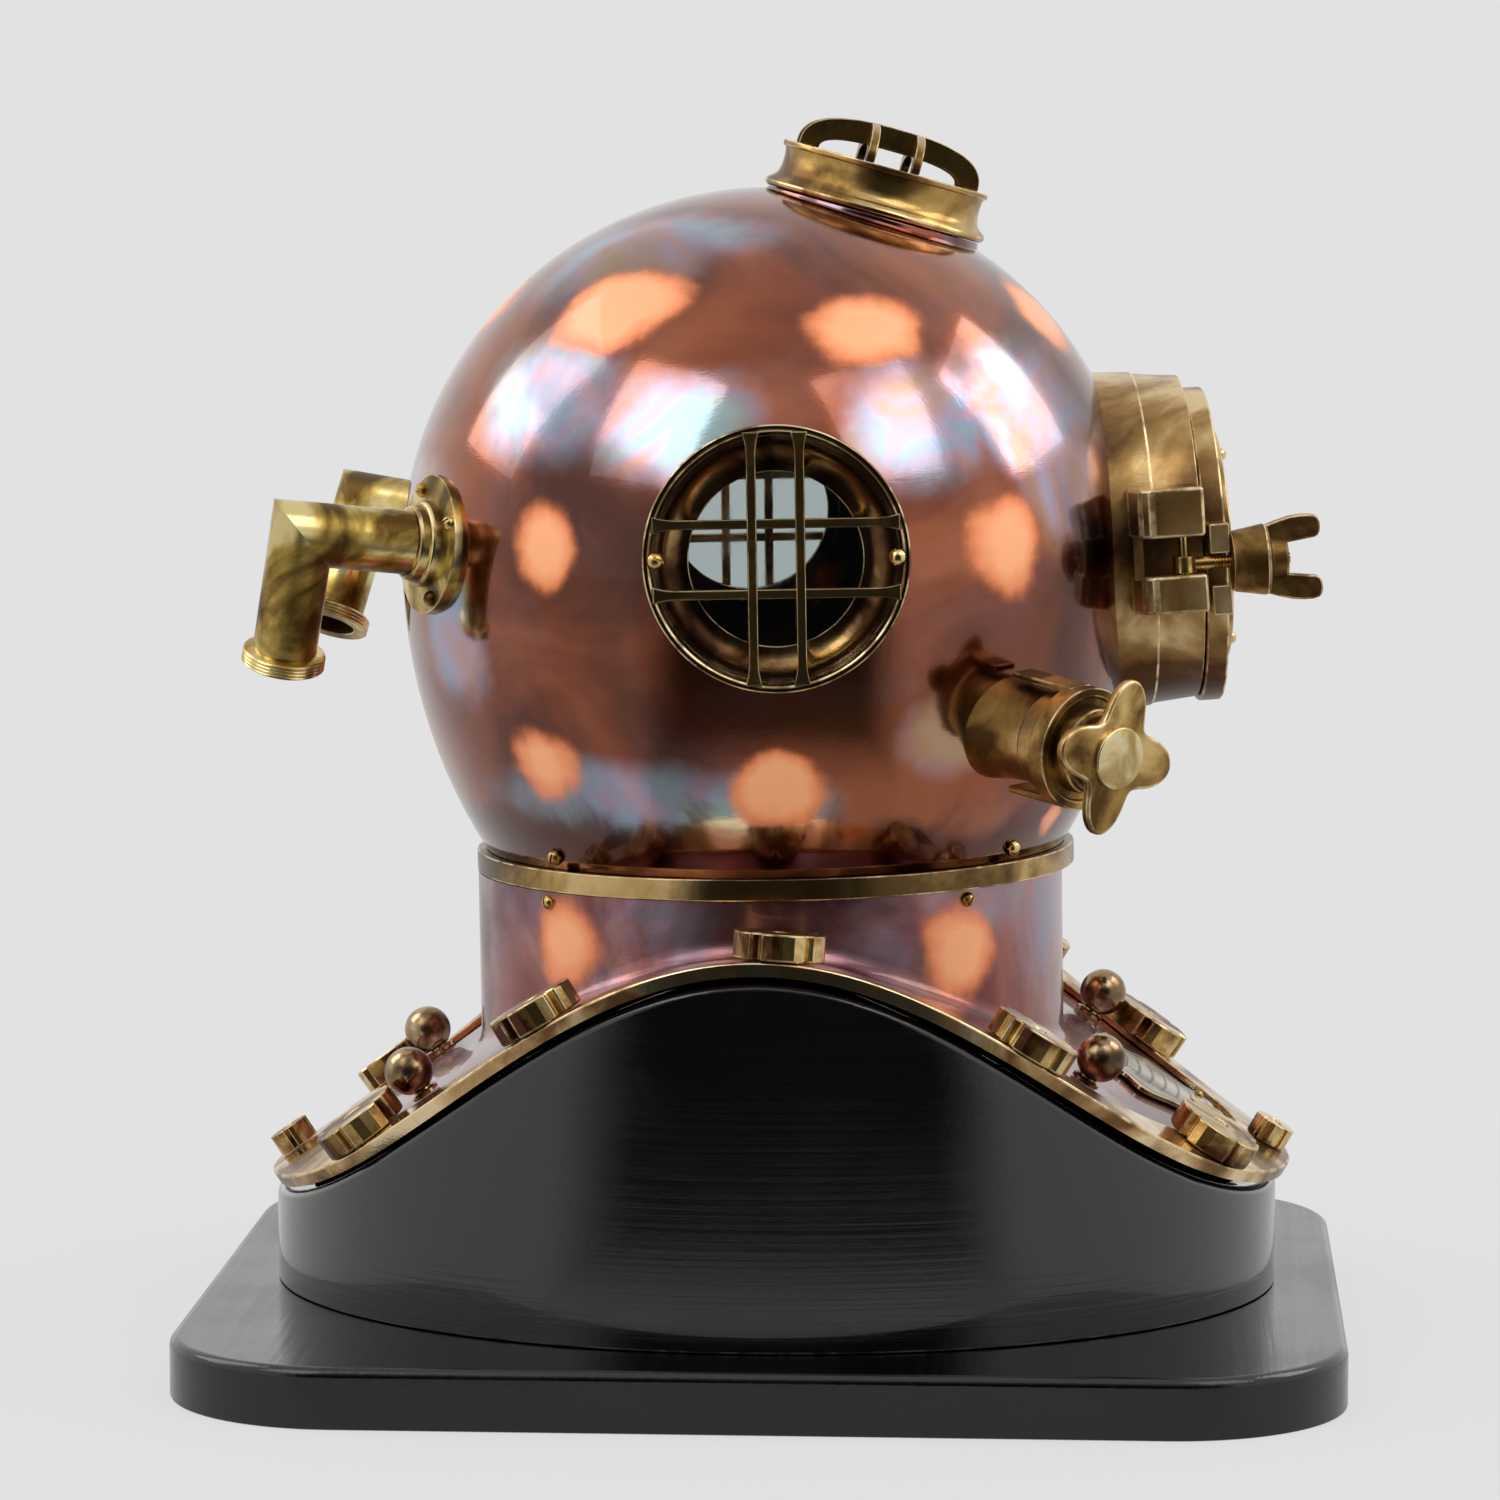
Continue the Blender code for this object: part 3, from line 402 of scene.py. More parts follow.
class Graph:
    """A node tree being wired."""

    def __init__(self, tree: bpy.types.NodeTree) -> None:
        """Hold the tree."""
        self.tree = tree

    def dress(self, node: Node, inputs: dict) -> Node:
        """Fill a node's inputs.

        Args:
            node: the node.
            inputs: socket names or places, with a plain value or a socket to link from.

        Returns:
            The same node.
        """
        for key, value in inputs.items():
            if isinstance(value, Socket):
                self.tree.links.new(value, node.inputs[key])
            else:
                node.inputs[key].default_value = value
        return node

    def add(self, kind: str, inputs: dict | None = None, **settings: object) -> Node:
        """Add a node.

        Args:
            kind: the last part of the node's type name.
            inputs: what its inputs are filled with.
            settings: the node's own properties.

        Returns:
            The node.
        """
        node = self.tree.nodes.new(kind if kind.startswith("Node") else f"ShaderNode{kind}")
        for key, value in settings.items():
            setattr(node, key, value)
        return self.dress(node, inputs or {})

    def object_vector(self) -> Socket:
        """The place on the object."""
        return self.add("TexCoord").outputs["Object"]

    def noise(self, vector: Socket, scale: object, detail: float = 4.0, rough: float = 0.55,
              bend: float = 0.0) -> Socket:
        """A noise value, with finer layers of its own roughness, bent by a distortion."""
        inputs = {"Vector": vector, "Scale": scale, "Detail": detail, "Roughness": rough, "Distortion": bend}
        return self.add("TexNoise", inputs).outputs["Fac"]

    def drift(self, vector: Socket, scale: float, detail: float, reach: float, bend: float = 0.0) -> Socket:
        """A noise value centred on 0, a reach wide in all."""
        centred = self.math("SUBTRACT", self.noise(vector, scale, detail, bend=bend), 0.5)
        return self.math("MULTIPLY", centred, reach)

    def stretch(self, vector: Socket, scale: Sequence[float]) -> Socket:
        """The coordinates scaled on each axis."""
        return self.add("Mapping", {"Vector": vector, "Scale": tuple(scale)}).outputs["Vector"]

    def strokes(self, vector: Socket, scale: Sequence[float], detail: float = 3.0) -> Socket:
        """Noise drawn out into lines."""
        return self.noise(self.stretch(vector, scale), 1.0, detail)

    def math(self, operation: str, first: object, second: object = 0.0) -> Socket:
        """One sum on two values."""
        return self.add("Math", {0: first, 1: second}, operation=operation).outputs[0]

    def product(self, first: object, second: object) -> Socket:
        """Two values multiplied."""
        return self.math("MULTIPLY", first, second)

    def larger(self, first: object, second: object) -> Socket:
        """The larger of two values."""
        return self.math("MAXIMUM", first, second)

    def vector_math(self, operation: str, inputs: dict) -> Node:
        """One sum on vectors."""
        return self.add("VectorMath", inputs, operation=operation)

    def span(self, value: Socket, low: float, high: float, start: float = 0.0, stop: float = 1.0) -> Socket:
        """A smooth step from start at low to stop at high."""
        inputs = {"Value": value, "From Min": low, "From Max": high, "To Min": start, "To Max": stop}
        return self.add("MapRange", inputs, interpolation_type="SMOOTHSTEP").outputs["Result"]

    def ramp(self, value: Socket, stops: Sequence[tuple[float, Colour]]) -> Socket:
        """A colour ramp.

        Args:
            value: what it follows.
            stops: places with their colours.

        Returns:
            The colour.
        """
        node = self.add("ValToRGB", {"Fac": value})
        elements = node.color_ramp.elements
        elements.remove(elements[1])
        elements[0].position = stops[0][0]
        elements[0].color = (*stops[0][1], 1.0)
        for place, colour in stops[1:]:
            elements.new(place).color = (*colour, 1.0)
        return node.outputs["Color"]

    def mix(self, share: Socket, *colours: object) -> Socket:
        """Mix two colours, each plain or a socket."""
        first, second = [each if isinstance(each, Socket) else (*each, 1.0) for each in colours]
        return self.add("Mix", {0: share, 6: first, 7: second}, data_type="RGBA").outputs[2]

    def blend(self, share: Socket, first: object, second: object) -> Socket:
        """Mix two numbers."""
        return self.add("Mix", {0: share, 2: first, 3: second}, data_type="FLOAT").outputs[0]

    def attribute(self, name: str) -> Socket:
        """A mesh attribute's number."""
        return self.add("Attribute", attribute_name=name).outputs["Fac"]

    def effect(self, tree: bpy.types.NodeTree, inputs: dict) -> Socket:
        """Place a shared effect and give its output."""
        node = self.add("Group", node_tree=tree)
        return self.dress(node, inputs).outputs[0]

    def bump(self, height: Socket, depth: float, strength: float = 1.0) -> Socket:
        """A normal from a height."""
        return self.add("Bump", {"Height": height, "Strength": strength, "Distance": depth}).outputs["Normal"]


class EffectGroups:
    """The shared effects, each a node group that is built once."""

    @staticmethod
    def new(name: str, result: str, **numbers: float) -> tuple[Graph, Node, Node]:
        """Start a group that reads a Vector.

        Args:
            name: the group's name.
            result: its output's name.
            numbers: its other inputs, with their usual values.

        Returns:
            The group's graph, and the nodes that hold its inputs and its output.
        """
        tree = bpy.data.node_groups.new(name, "ShaderNodeTree")
        tree.interface.new_socket("Vector", in_out="INPUT", socket_type="NodeSocketVector")
        for label, value in numbers.items():
            socket = tree.interface.new_socket(label, in_out="INPUT", socket_type="NodeSocketFloat")
            socket.default_value = value
        tree.interface.new_socket(result, in_out="OUTPUT", socket_type="NodeSocketFloat")
        graph = Graph(tree)
        return graph, graph.add("NodeGroupInput"), graph.add("NodeGroupOutput")

    @classmethod
    def mottle(cls) -> bpy.types.NodeTree:
        """Cloudy blotches with finer flecks in them.

        Returns:
            The node group, whose output is a share.
        """
        graph, given, made = cls.new("Mottle", "Value", Scale=12.0, Flecks=0.35)
        vector, scale, strength = given.outputs[:3]
        clouds = graph.noise(vector, scale, 5.0, 0.5, 0.9)
        flecks = graph.noise(vector, graph.product(scale, 7.0), 6.0, 0.7)
        added = graph.product(graph.math("SUBTRACT", flecks, 0.5), strength)
        graph.dress(made, {"Value": graph.math("ADD", graph.span(clouds, 0.30, 0.70), added)})
        return graph.tree

    @classmethod
    def worn_edges(cls) -> bpy.types.NodeTree:
        """The marked edges, broken up where they are less rubbed.

        Returns:
            The node group, whose output is a share.
        """
        graph, given, made = cls.new("Worn edges", "Mask")
        patches = graph.span(graph.noise(given.outputs["Vector"], 90.0, 3.0), 0.40, 0.60, 0.10, 0.80)
        graph.dress(made, {"Mask": graph.product(graph.attribute(EDGE), patches)})
        return graph.tree

    @classmethod
    def handling(cls) -> bpy.types.NodeTree:
        """The height of fine dents and polishing scratches.

        Returns:
            The node group, whose output is a height.
        """
        graph, given, made = cls.new("Handling marks", "Height", Dents=1.0)
        vector, strength = given.outputs[:2]
        lines = graph.strokes(vector, (160.0, 160.0, 1400.0))
        cross = graph.strokes(vector, (1500.0, 300.0, 200.0), 2.0)
        scratches = graph.product(graph.math("ADD", lines, cross), 0.10)
        dents = graph.product(graph.noise(vector, 38.0, 3.0), strength)
        graph.dress(made, {"Height": graph.math("ADD", dents, scratches)})
        return graph.tree


MOTTLE = EffectGroups.mottle()
WORN_EDGES = EffectGroups.worn_edges()
HANDLING = EffectGroups.handling()


def new_material(name: str) -> tuple[bpy.types.Material, Graph, Node, Socket]:
    """Start a material.

    Args:
        name: its name.

    Returns:
        The material, its graph, its shader and its object coordinates.
    """
    material = bpy.data.materials.new(name)
    material.use_nodes = True
    graph = Graph(material.node_tree)
    return material, graph, graph.tree.nodes["Principled BSDF"], graph.object_vector()


@dataclass(frozen=True)
class Finish:
    """A finish makes one material; the subclasses say how."""

    name: str

    def make(self) -> bpy.types.Material:
        """Build the material."""
        raise NotImplementedError


@dataclass(frozen=True)
class Brass(Finish):
    """Aged brass: cloudy tarnish, rubbed bright on its edges."""

    deep: Colour = (0.11, 0.062, 0.022)
    middle: Colour = (0.42, 0.26, 0.088)
    bright: Colour = (0.70, 0.48, 0.19)
    rubbed: Colour = (0.95, 0.74, 0.42)
    scale: float = 22.0
    low: float = 0.05
    high: float = 1.0
    smooth: float = 0.20
    dull: float = 0.40
    dents: float = 1.0
    bare: float = 1.0

    def make(self) -> bpy.types.Material:
        """Build the material.

        Returns:
            The new material.
        """
        material, graph, shader, vector = new_material(self.name)
        value = graph.effect(MOTTLE, {"Vector": vector, "Scale": self.scale})
        metal = graph.ramp(value, [(self.low, self.deep), ((self.low + self.high) / 2, self.middle),
                                   (self.high, self.bright)])
        worn = graph.effect(WORN_EDGES, {"Vector": vector})
        marks = graph.effect(HANDLING, {"Vector": vector, "Dents": self.dents})
        rough = graph.span(value, self.low, self.high, self.dull, self.smooth)
        graph.dress(shader, {"Base Color": graph.mix(worn, metal, self.rubbed), "Roughness": rough,
                             "Normal": graph.bump(marks, 0.0005, 0.45), "Metallic": self.bare})
        return material


@dataclass(frozen=True)
class RuledBrass(Brass):
    """Dull plate brass, engraved with plain ruled lines and a border."""

    lines: float = 9.0
    ink: Colour = (0.05, 0.035, 0.02)

    def make(self) -> bpy.types.Material:
        """Build the material.

        Returns:
            The new material.
        """
        material = super().make()
        graph = Graph(material.node_tree)
        shader = graph.tree.nodes["Principled BSDF"]
        across, down = graph.attribute(ACROSS), graph.attribute(DOWN)
        wave = graph.math("PINGPONG", graph.product(down, self.lines), 0.5)
        line = graph.span(wave, 0.05, 0.11, 1.0, 0.0)
        from_side, from_end = graph.math("PINGPONG", across, 0.5), graph.math("PINGPONG", down, 0.5)
        inside = graph.product(graph.span(from_side, 0.20, 0.22), graph.span(from_end, 0.15, 0.17))
        off_border = graph.math("SUBTRACT", graph.math("MINIMUM", from_side, from_end), 0.07)
        border = graph.span(graph.math("ABSOLUTE", off_border), 0.006, 0.016, 1.0, 0.0)
        cut = graph.larger(graph.product(line, inside), border)
        plain = shader.inputs["Base Color"].links[0].from_socket
        graph.dress(shader, {"Base Color": graph.mix(cut, plain, self.ink),
                             "Normal": graph.bump(graph.math("SUBTRACT", 1.0, cut), 0.0004, 0.8)})
        return material


@dataclass(frozen=True)
class Copper(Finish):
    """Copper with heat tints and burnished spots; its upper tint patches are painted highlight colour."""

    deep: Colour = (0.085, 0.021, 0.010)
    middle: Colour = (0.25, 0.058, 0.020)
    bright: Colour = (0.39, 0.108, 0.038)
    scorched: Colour = (0.82, 0.21, 0.055)
    burnished: Colour = (1.0, 0.43, 0.20)
    scale: float = 11.0
    brushed: float = 0.0
    dull: float = 0.19
    smooth: float = 0.10
    foot: float = 0.225
    spots: bool = True
    # turns on the tint patches, partly heat tint and partly painted highlight colour, and the stain at the
    # foot
    tints: bool = True

    def make(self) -> bpy.types.Material:
        """Build the material.

        Returns:
            The new material.
        """
        material, graph, shader, vector = new_material(self.name)
        value = graph.effect(MOTTLE, {"Vector": vector, "Scale": self.scale, "Flecks": 0.22})
        colour = graph.ramp(value, [(0.0, self.deep), (0.5, self.middle), (1.0, self.bright)])
        colour = graph.mix(self.film(graph, vector, value), colour, self.rainbow(graph, vector))
        if self.tints:
            colour = graph.mix(self.stain(graph, vector), colour, self.deep)
        rough = graph.span(value, 0.0, 1.0, self.dull, self.smooth)
        metal: object = 1.0
        if self.spots:
            burnt, heat = self.burnt(graph, vector)
            colour = graph.mix(burnt, colour, heat)
            rough = graph.larger(rough, graph.product(burnt, 0.5))
            metal = graph.span(burnt, 0.0, 1.0, 1.0, 0.35)
        marks = graph.effect(HANDLING, {"Vector": vector, "Dents": 0.7})
        lines = graph.strokes(vector, (3.0, 3.0, 900.0))
        height = graph.math("ADD", marks, graph.product(lines, self.brushed))
        graph.dress(shader, {"Base Color": colour, "Roughness": rough, "Metallic": metal,
                             "Normal": graph.bump(height, 0.0006, 0.30), "Coat Weight": 0.7,
                             "Coat Roughness": 0.04})
        return material

    def stain(self, graph: Graph, vector: Socket) -> Socket:
        """The dark stain that creeps up from the foot.

        Args:
            graph: the node tree being built.
            vector: the place on the piece.

        Returns:
            The stain's share, 0 above it.
        """
        height = graph.add("SeparateXYZ", {0: vector}).outputs["Z"]
        creep = graph.product(graph.noise(vector, 26.0, 4.0, bend=1.0), 0.052)
        level = graph.math("SUBTRACT", height, creep)
        return graph.span(level, self.foot - 0.022, self.foot - 0.006, 0.85, 0.0)

    def burnt(self, graph: Graph, vector: Socket) -> tuple[Socket, Socket]:
        """Where the ragged spots are, and their colour.

        Args:
            graph: the material's graph.
            vector: its object coordinates.

        Returns:
            The spots' mask and their colour.
        """
        ragged = graph.math("ADD", graph.drift(vector, 48.0, 4.0, 0.55), graph.drift(vector, 17.0, 2.0, 1.3))
        reach = graph.math("ADD", graph.attribute(SPOT), ragged)
        heat = graph.mix(graph.span(reach, 0.45, 1.00, 1.0, 0.0), self.scorched, self.burnished)
        return graph.span(reach, 0.74, 1.16, 1.0, 0.0), heat

    def film(self, graph: Graph, vector: Socket, value: Socket) -> Socket:
        """How much of the oxide film's colour shows, with the painted highlight colour of the upper tint
        patches.

        Args:
            graph: the material's graph.
            vector: its object coordinates.
            value: the copper's mottle.

        Returns:
            The film's share.
        """
        cloud = graph.span(graph.noise(vector, 9.0, 4.0, bend=1.4), 0.42, 0.66, 0.0, 0.50)
        if self.tints:
            # tint patches: heat tint, and painted highlight colour where the lamps' highlights fall
            reach = graph.math("ADD", graph.attribute(TINT_AND_HIGHLIGHT), graph.drift(vector, 21.0, 4.0, 1.3))
            cloud = graph.larger(graph.product(cloud, 0.15), graph.span(reach, 0.50, 1.45, 0.90, 0.0))
        return graph.product(cloud, graph.span(value, 0.0, 0.8, 0.55, 1.0))

    def rainbow(self, graph: Graph, vector: Socket) -> Socket:
        """The film's colours, from gold through rose and violet to blue and green, also the painted highlight
        colour of the upper tint patches.

        Args:
            graph: the node tree being built.
            vector: the place on the piece.

        Returns:
            The film's colour.
        """
        wander = graph.math("SUBTRACT", graph.noise(vector, 12.0, 2.0, bend=2.2), 0.5)
        place = graph.math("ADD", *((graph.attribute(HUE), wander) if self.tints else (wander, 0.5)))
        return graph.ramp(place, [(0.30, (0.56, 0.36, 0.20)), (0.42, (0.60, 0.40, 0.42)),
                                  (0.50, (0.52, 0.44, 0.58)), (0.58, (0.36, 0.50, 0.68)),
                                  (0.68, (0.34, 0.54, 0.56))])


@dataclass(frozen=True)
class Lacquer(Finish):
    """Black gloss lacquer brushed on wood."""

    black: Colour = (0.0018, 0.0018, 0.0020)
    worn: Colour = (0.16, 0.15, 0.14)
    grain: tuple[float, float, float] = (5.0, 5.0, 420.0)
    coat: float = 1.0

    def make(self) -> bpy.types.Material:
        """Build the material.

        Returns:
            The new material.
        """
        material, graph, shader, vector = new_material(self.name)
        strokes = graph.strokes(vector, self.grain)
        orange_peel = graph.noise(vector, 260.0, 2.0)
        dust = graph.span(graph.noise(vector, 900.0, 1.0), 0.72, 0.82, 0.0, 0.35)
        worn = graph.product(graph.effect(WORN_EDGES, {"Vector": vector}), 0.35)
        shade = graph.mix(graph.larger(worn, graph.product(dust, 0.12)), self.black, self.worn)
        height = graph.math("ADD", strokes, graph.product(orange_peel, 0.5))
        patchy = graph.math("ADD", graph.noise(vector, 14.0, 4.0), graph.product(strokes, 0.5))
        rough = graph.span(patchy, 0.55, 0.95, 0.07, 0.26)
        graph.dress(shader, {"Base Color": shade, "Roughness": rough, "Coat Weight": self.coat,
                             "Coat Roughness": 0.05, "Normal": graph.bump(height, 0.00035, 0.50)})
        return material


@dataclass(frozen=True)
class Glass(Finish):
    """Thick window glass, a little smoky."""

    tone: Colour = (0.80, 0.86, 0.86)

    def make(self) -> bpy.types.Material:
        """Build the material.

        Returns:
            The new material.
        """
        material, graph, shader, vector = new_material(self.name)
        smears = graph.span(graph.noise(vector, 45.0, 4.0), 0.40, 0.75, 0.01, 0.07)
        waves = graph.bump(graph.noise(vector, 18.0, 1.0), 0.0002, 0.08)
        graph.dress(shader, {"Base Color": (*self.tone, 1.0), "Roughness": smears, "Normal": waves,
                             "Metallic": 0.0, "Transmission Weight": 1.0, "IOR": 1.5})
        return material


class Look(Enum):
    """Each finish with the record's material slot that it belongs to."""

    BONNET = ("bonnet_copper", Copper("bonnet copper"))
    COLLAR = ("bonnet_copper", Copper("top collar copper", spots=False, tints=False))
    SHEET = ("corselet_copper", Copper("corselet copper", (0.075, 0.016, 0.017), (0.23, 0.056, 0.050),
                                       (0.42, 0.14, 0.11), brushed=0.45, dull=0.40, smooth=0.24,
                                       tints=False))
    CAST = ("cast_brass", Brass("cast brass", (0.12, 0.060, 0.018), (0.44, 0.265, 0.080), (0.78, 0.54, 0.22),
                                low=0.15, high=0.9, smooth=0.28, dull=0.50))
    NUT = ("cast_brass", Brass("nut brass", (0.11, 0.040, 0.018), (0.44, 0.27, 0.085), (0.84, 0.62, 0.28),
                               scale=34.0, low=0.15, high=0.85, smooth=0.18, dull=0.36, dents=0.6))
    RING = ("cast_brass", Brass("ring brass", (0.13, 0.075, 0.028), (0.46, 0.29, 0.10), (0.74, 0.53, 0.24),
                                smooth=0.10, dull=0.24, dents=0.6))
    ELBOW = ("aged_brass", Brass("elbow brass", (0.12, 0.068, 0.016), (0.46, 0.31, 0.075), (0.80, 0.66, 0.30),
                                 low=0.15, high=0.9, smooth=0.20, dull=0.42))
    HOUSING = ("cast_brass", Brass("housing brass", (0.10, 0.044, 0.014), (0.36, 0.205, 0.066),
                                   (0.74, 0.56, 0.29), scale=11.0, low=0.15, high=0.80, smooth=0.15,
                                   dull=0.32, bare=0.78))
    DARK = ("aged_brass", Brass("dark brass", (0.034, 0.016, 0.008), (0.15, 0.076, 0.032),
                                (0.46, 0.30, 0.12), scale=24.0, low=0.15, high=0.95, smooth=0.13, dull=0.28))
    STUD = ("aged_brass", Brass("stud brass", (0.085, 0.050, 0.028), (0.30, 0.20, 0.105),
                                (0.56, 0.42, 0.25), scale=40.0, smooth=0.14, dull=0.30))
    YELLOW = ("aged_brass", Brass("yellow brass", (0.16, 0.082, 0.024), (0.50, 0.31, 0.095),
                                  (0.80, 0.56, 0.24), scale=19.0, low=0.15, high=0.9, smooth=0.15, dull=0.34))
    TRIM = ("strap_brass", Brass("strap brass", (0.22, 0.115, 0.042), (0.62, 0.40, 0.18), (0.94, 0.74, 0.44),
                                 scale=24.0, low=0.1, high=0.85, smooth=0.12, dull=0.30, dents=0.5))
    GOLD = ("cast_brass", Brass("rubbed brass", (0.40, 0.25, 0.075), (0.72, 0.48, 0.16), (0.92, 0.70, 0.32),
                                scale=60.0, smooth=0.16, dull=0.30))
    BUTTON = ("cast_brass", Brass("button brass", (0.48, 0.34, 0.12), (0.80, 0.64, 0.32), (0.95, 0.82, 0.52),
                                  scale=45.0, smooth=0.22, dull=0.42))
    PLATE = ("plate_brass", RuledBrass("name plate brass", (0.14, 0.11, 0.055), (0.32, 0.27, 0.155),
                                       (0.56, 0.49, 0.32), scale=30.0, smooth=0.16, dull=0.3))
    LACQUER = ("black_lacquer", Lacquer("plate lacquer", grain=(5.0, 260.0, 260.0), coat=0.35))
    DRUM = ("black_lacquer", Lacquer("drum lacquer"))
    GLASS = ("window_glass", Glass("window glass"))

    def __init__(self, slot: str, finish: Finish) -> None:
        """Keep the slot and the finish."""
        self.slot = slot
        self.finish = finish

    def material(self) -> bpy.types.Material:
        """The look's one material, made when it is first asked for."""
        return bpy.data.materials.get(self.finish.name) or self.finish.make()


class Assembly:
    """A sub-assembly, with the place and the body that its pieces share."""

    body = Body.BONNET
    base = BONNET_FRAME
    seat = Matrix()

    def put(self, name: str, shape: Shape, look: Look, *stands_for: str, crease: float = 32.0,
            body: Body | None = None) -> None:
        """Finish a shape as a piece of the helmet.

        Args:
            name: the piece's name.
            shape: its mesh, in the sub-assembly's frame.
            look: its finish.
            stands_for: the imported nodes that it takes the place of.
            crease: bends past this many degrees stay sharp.
            body: what it rides on, if not on the sub-assembly's own body.
        """
        body = body or self.body
        data = shape.place(self.base @ self.seat).as_mesh(name)
        shape.mesh.free()
        data.shade_smooth()
        data.set_sharp_from_angle(angle=math.radians(crease))
        data.materials.clear()
        data.materials.append(look.material())
        piece = bpy.data.objects.new(name, data)
        show(piece)
        evened = piece.modifiers.new("Even shading", "WEIGHTED_NORMAL")
        evened.keep_sharp = True
        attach(piece, body.value)
        if stands_for:
            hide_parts(*stands_for)
        LOG.info("%s: %d faces, rides on %s", name, len(data.polygons), body.value)


# The stand


@dataclass
class Stand(Assembly):
    """The lacquered plate and the oval drum that carries the corselet's rim."""

    corner: float = 0.074
    edge_round: float = 0.0042
    foot_round: float = 0.0012
    wall: float = 0.016
    half_width: float = 0.1760
    half_length: float = 0.2158
    lip_round: float = 0.0042
    body = Body.CORSELET
    base = Matrix()

    def plate(self) -> Shape:
        """The flat plate: a rectangle with round corners and softened edges.

        Returns:
            The plate.
        """
        low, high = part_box("stand_plate")
        shape = Shape()
        corners = [shape.mesh.verts.new((x, y, low.z)) for x, y in rectangle(low.x, high.x, low.y, high.y)]
        shape.mesh.faces.new(corners)
        shape.bevel(corners, self.corner, 20, "VERTICES")
        shape.raised(high.z - low.z)
        shape.bevel_where(lambda point: point.z > high.z - SAME, self.edge_round, 5)
        return shape.bevel_where(lambda point: point.z < low.z + SAME, self.foot_round, 2)

    def edge_height(self, angle: float) -> float:
        """The height of the drum's edge, just under the corselet's rim."""
        rim = CORSELET_FRAME @ Corselet.slope_point(angle, 1.0, -0.0025)
        return rim.z - 0.0026

    def drum(self) -> Shape:
        """The drum: an upright oval wall with a saddle-shaped top edge.

        Returns:
            The drum, open at its top.
        """
        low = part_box("stand_bust")[0].z

        def place(u: float, v: float) -> Vector:
            """A point of the drum's wall.

            Args:
                u: share of the way round.
                v: share of the way up.

            Returns:
                The point.
            """
            angle = math.tau * u
            rise = low + (self.edge_height(angle) - low) * v
            return Vector((self.half_width * math.sin(angle), -self.half_length * math.cos(angle), rise))

        shape = Shape.sheet(168, 6, place).thicken(self.wall)
        return shape.bevel_where(self.on_lip, self.lip_round, 4).soften(0.0009, 2, 55)

    def on_lip(self, point: Vector) -> bool:
        """Whether a point is on the outer line of the drum's top edge.

        Args:
            point: a corner of the drum.

        Returns:
            True on that line.
        """
        out = math.hypot(point.x / self.half_width, point.y / self.half_length)
        angle = math.atan2(point.x / self.half_width, -point.y / self.half_length)
        return abs(out - 1.0) < 1e-3 and abs(point.z - self.edge_height(angle)) < 1e-4

    def build(self) -> None:
        """Make both pieces."""
        self.put("lacquered_plate", self.plate(), Look.LACQUER, "stand_plate")
        self.put("lacquered_drum", self.drum(), Look.DRUM, "stand_bust")


# The corselet


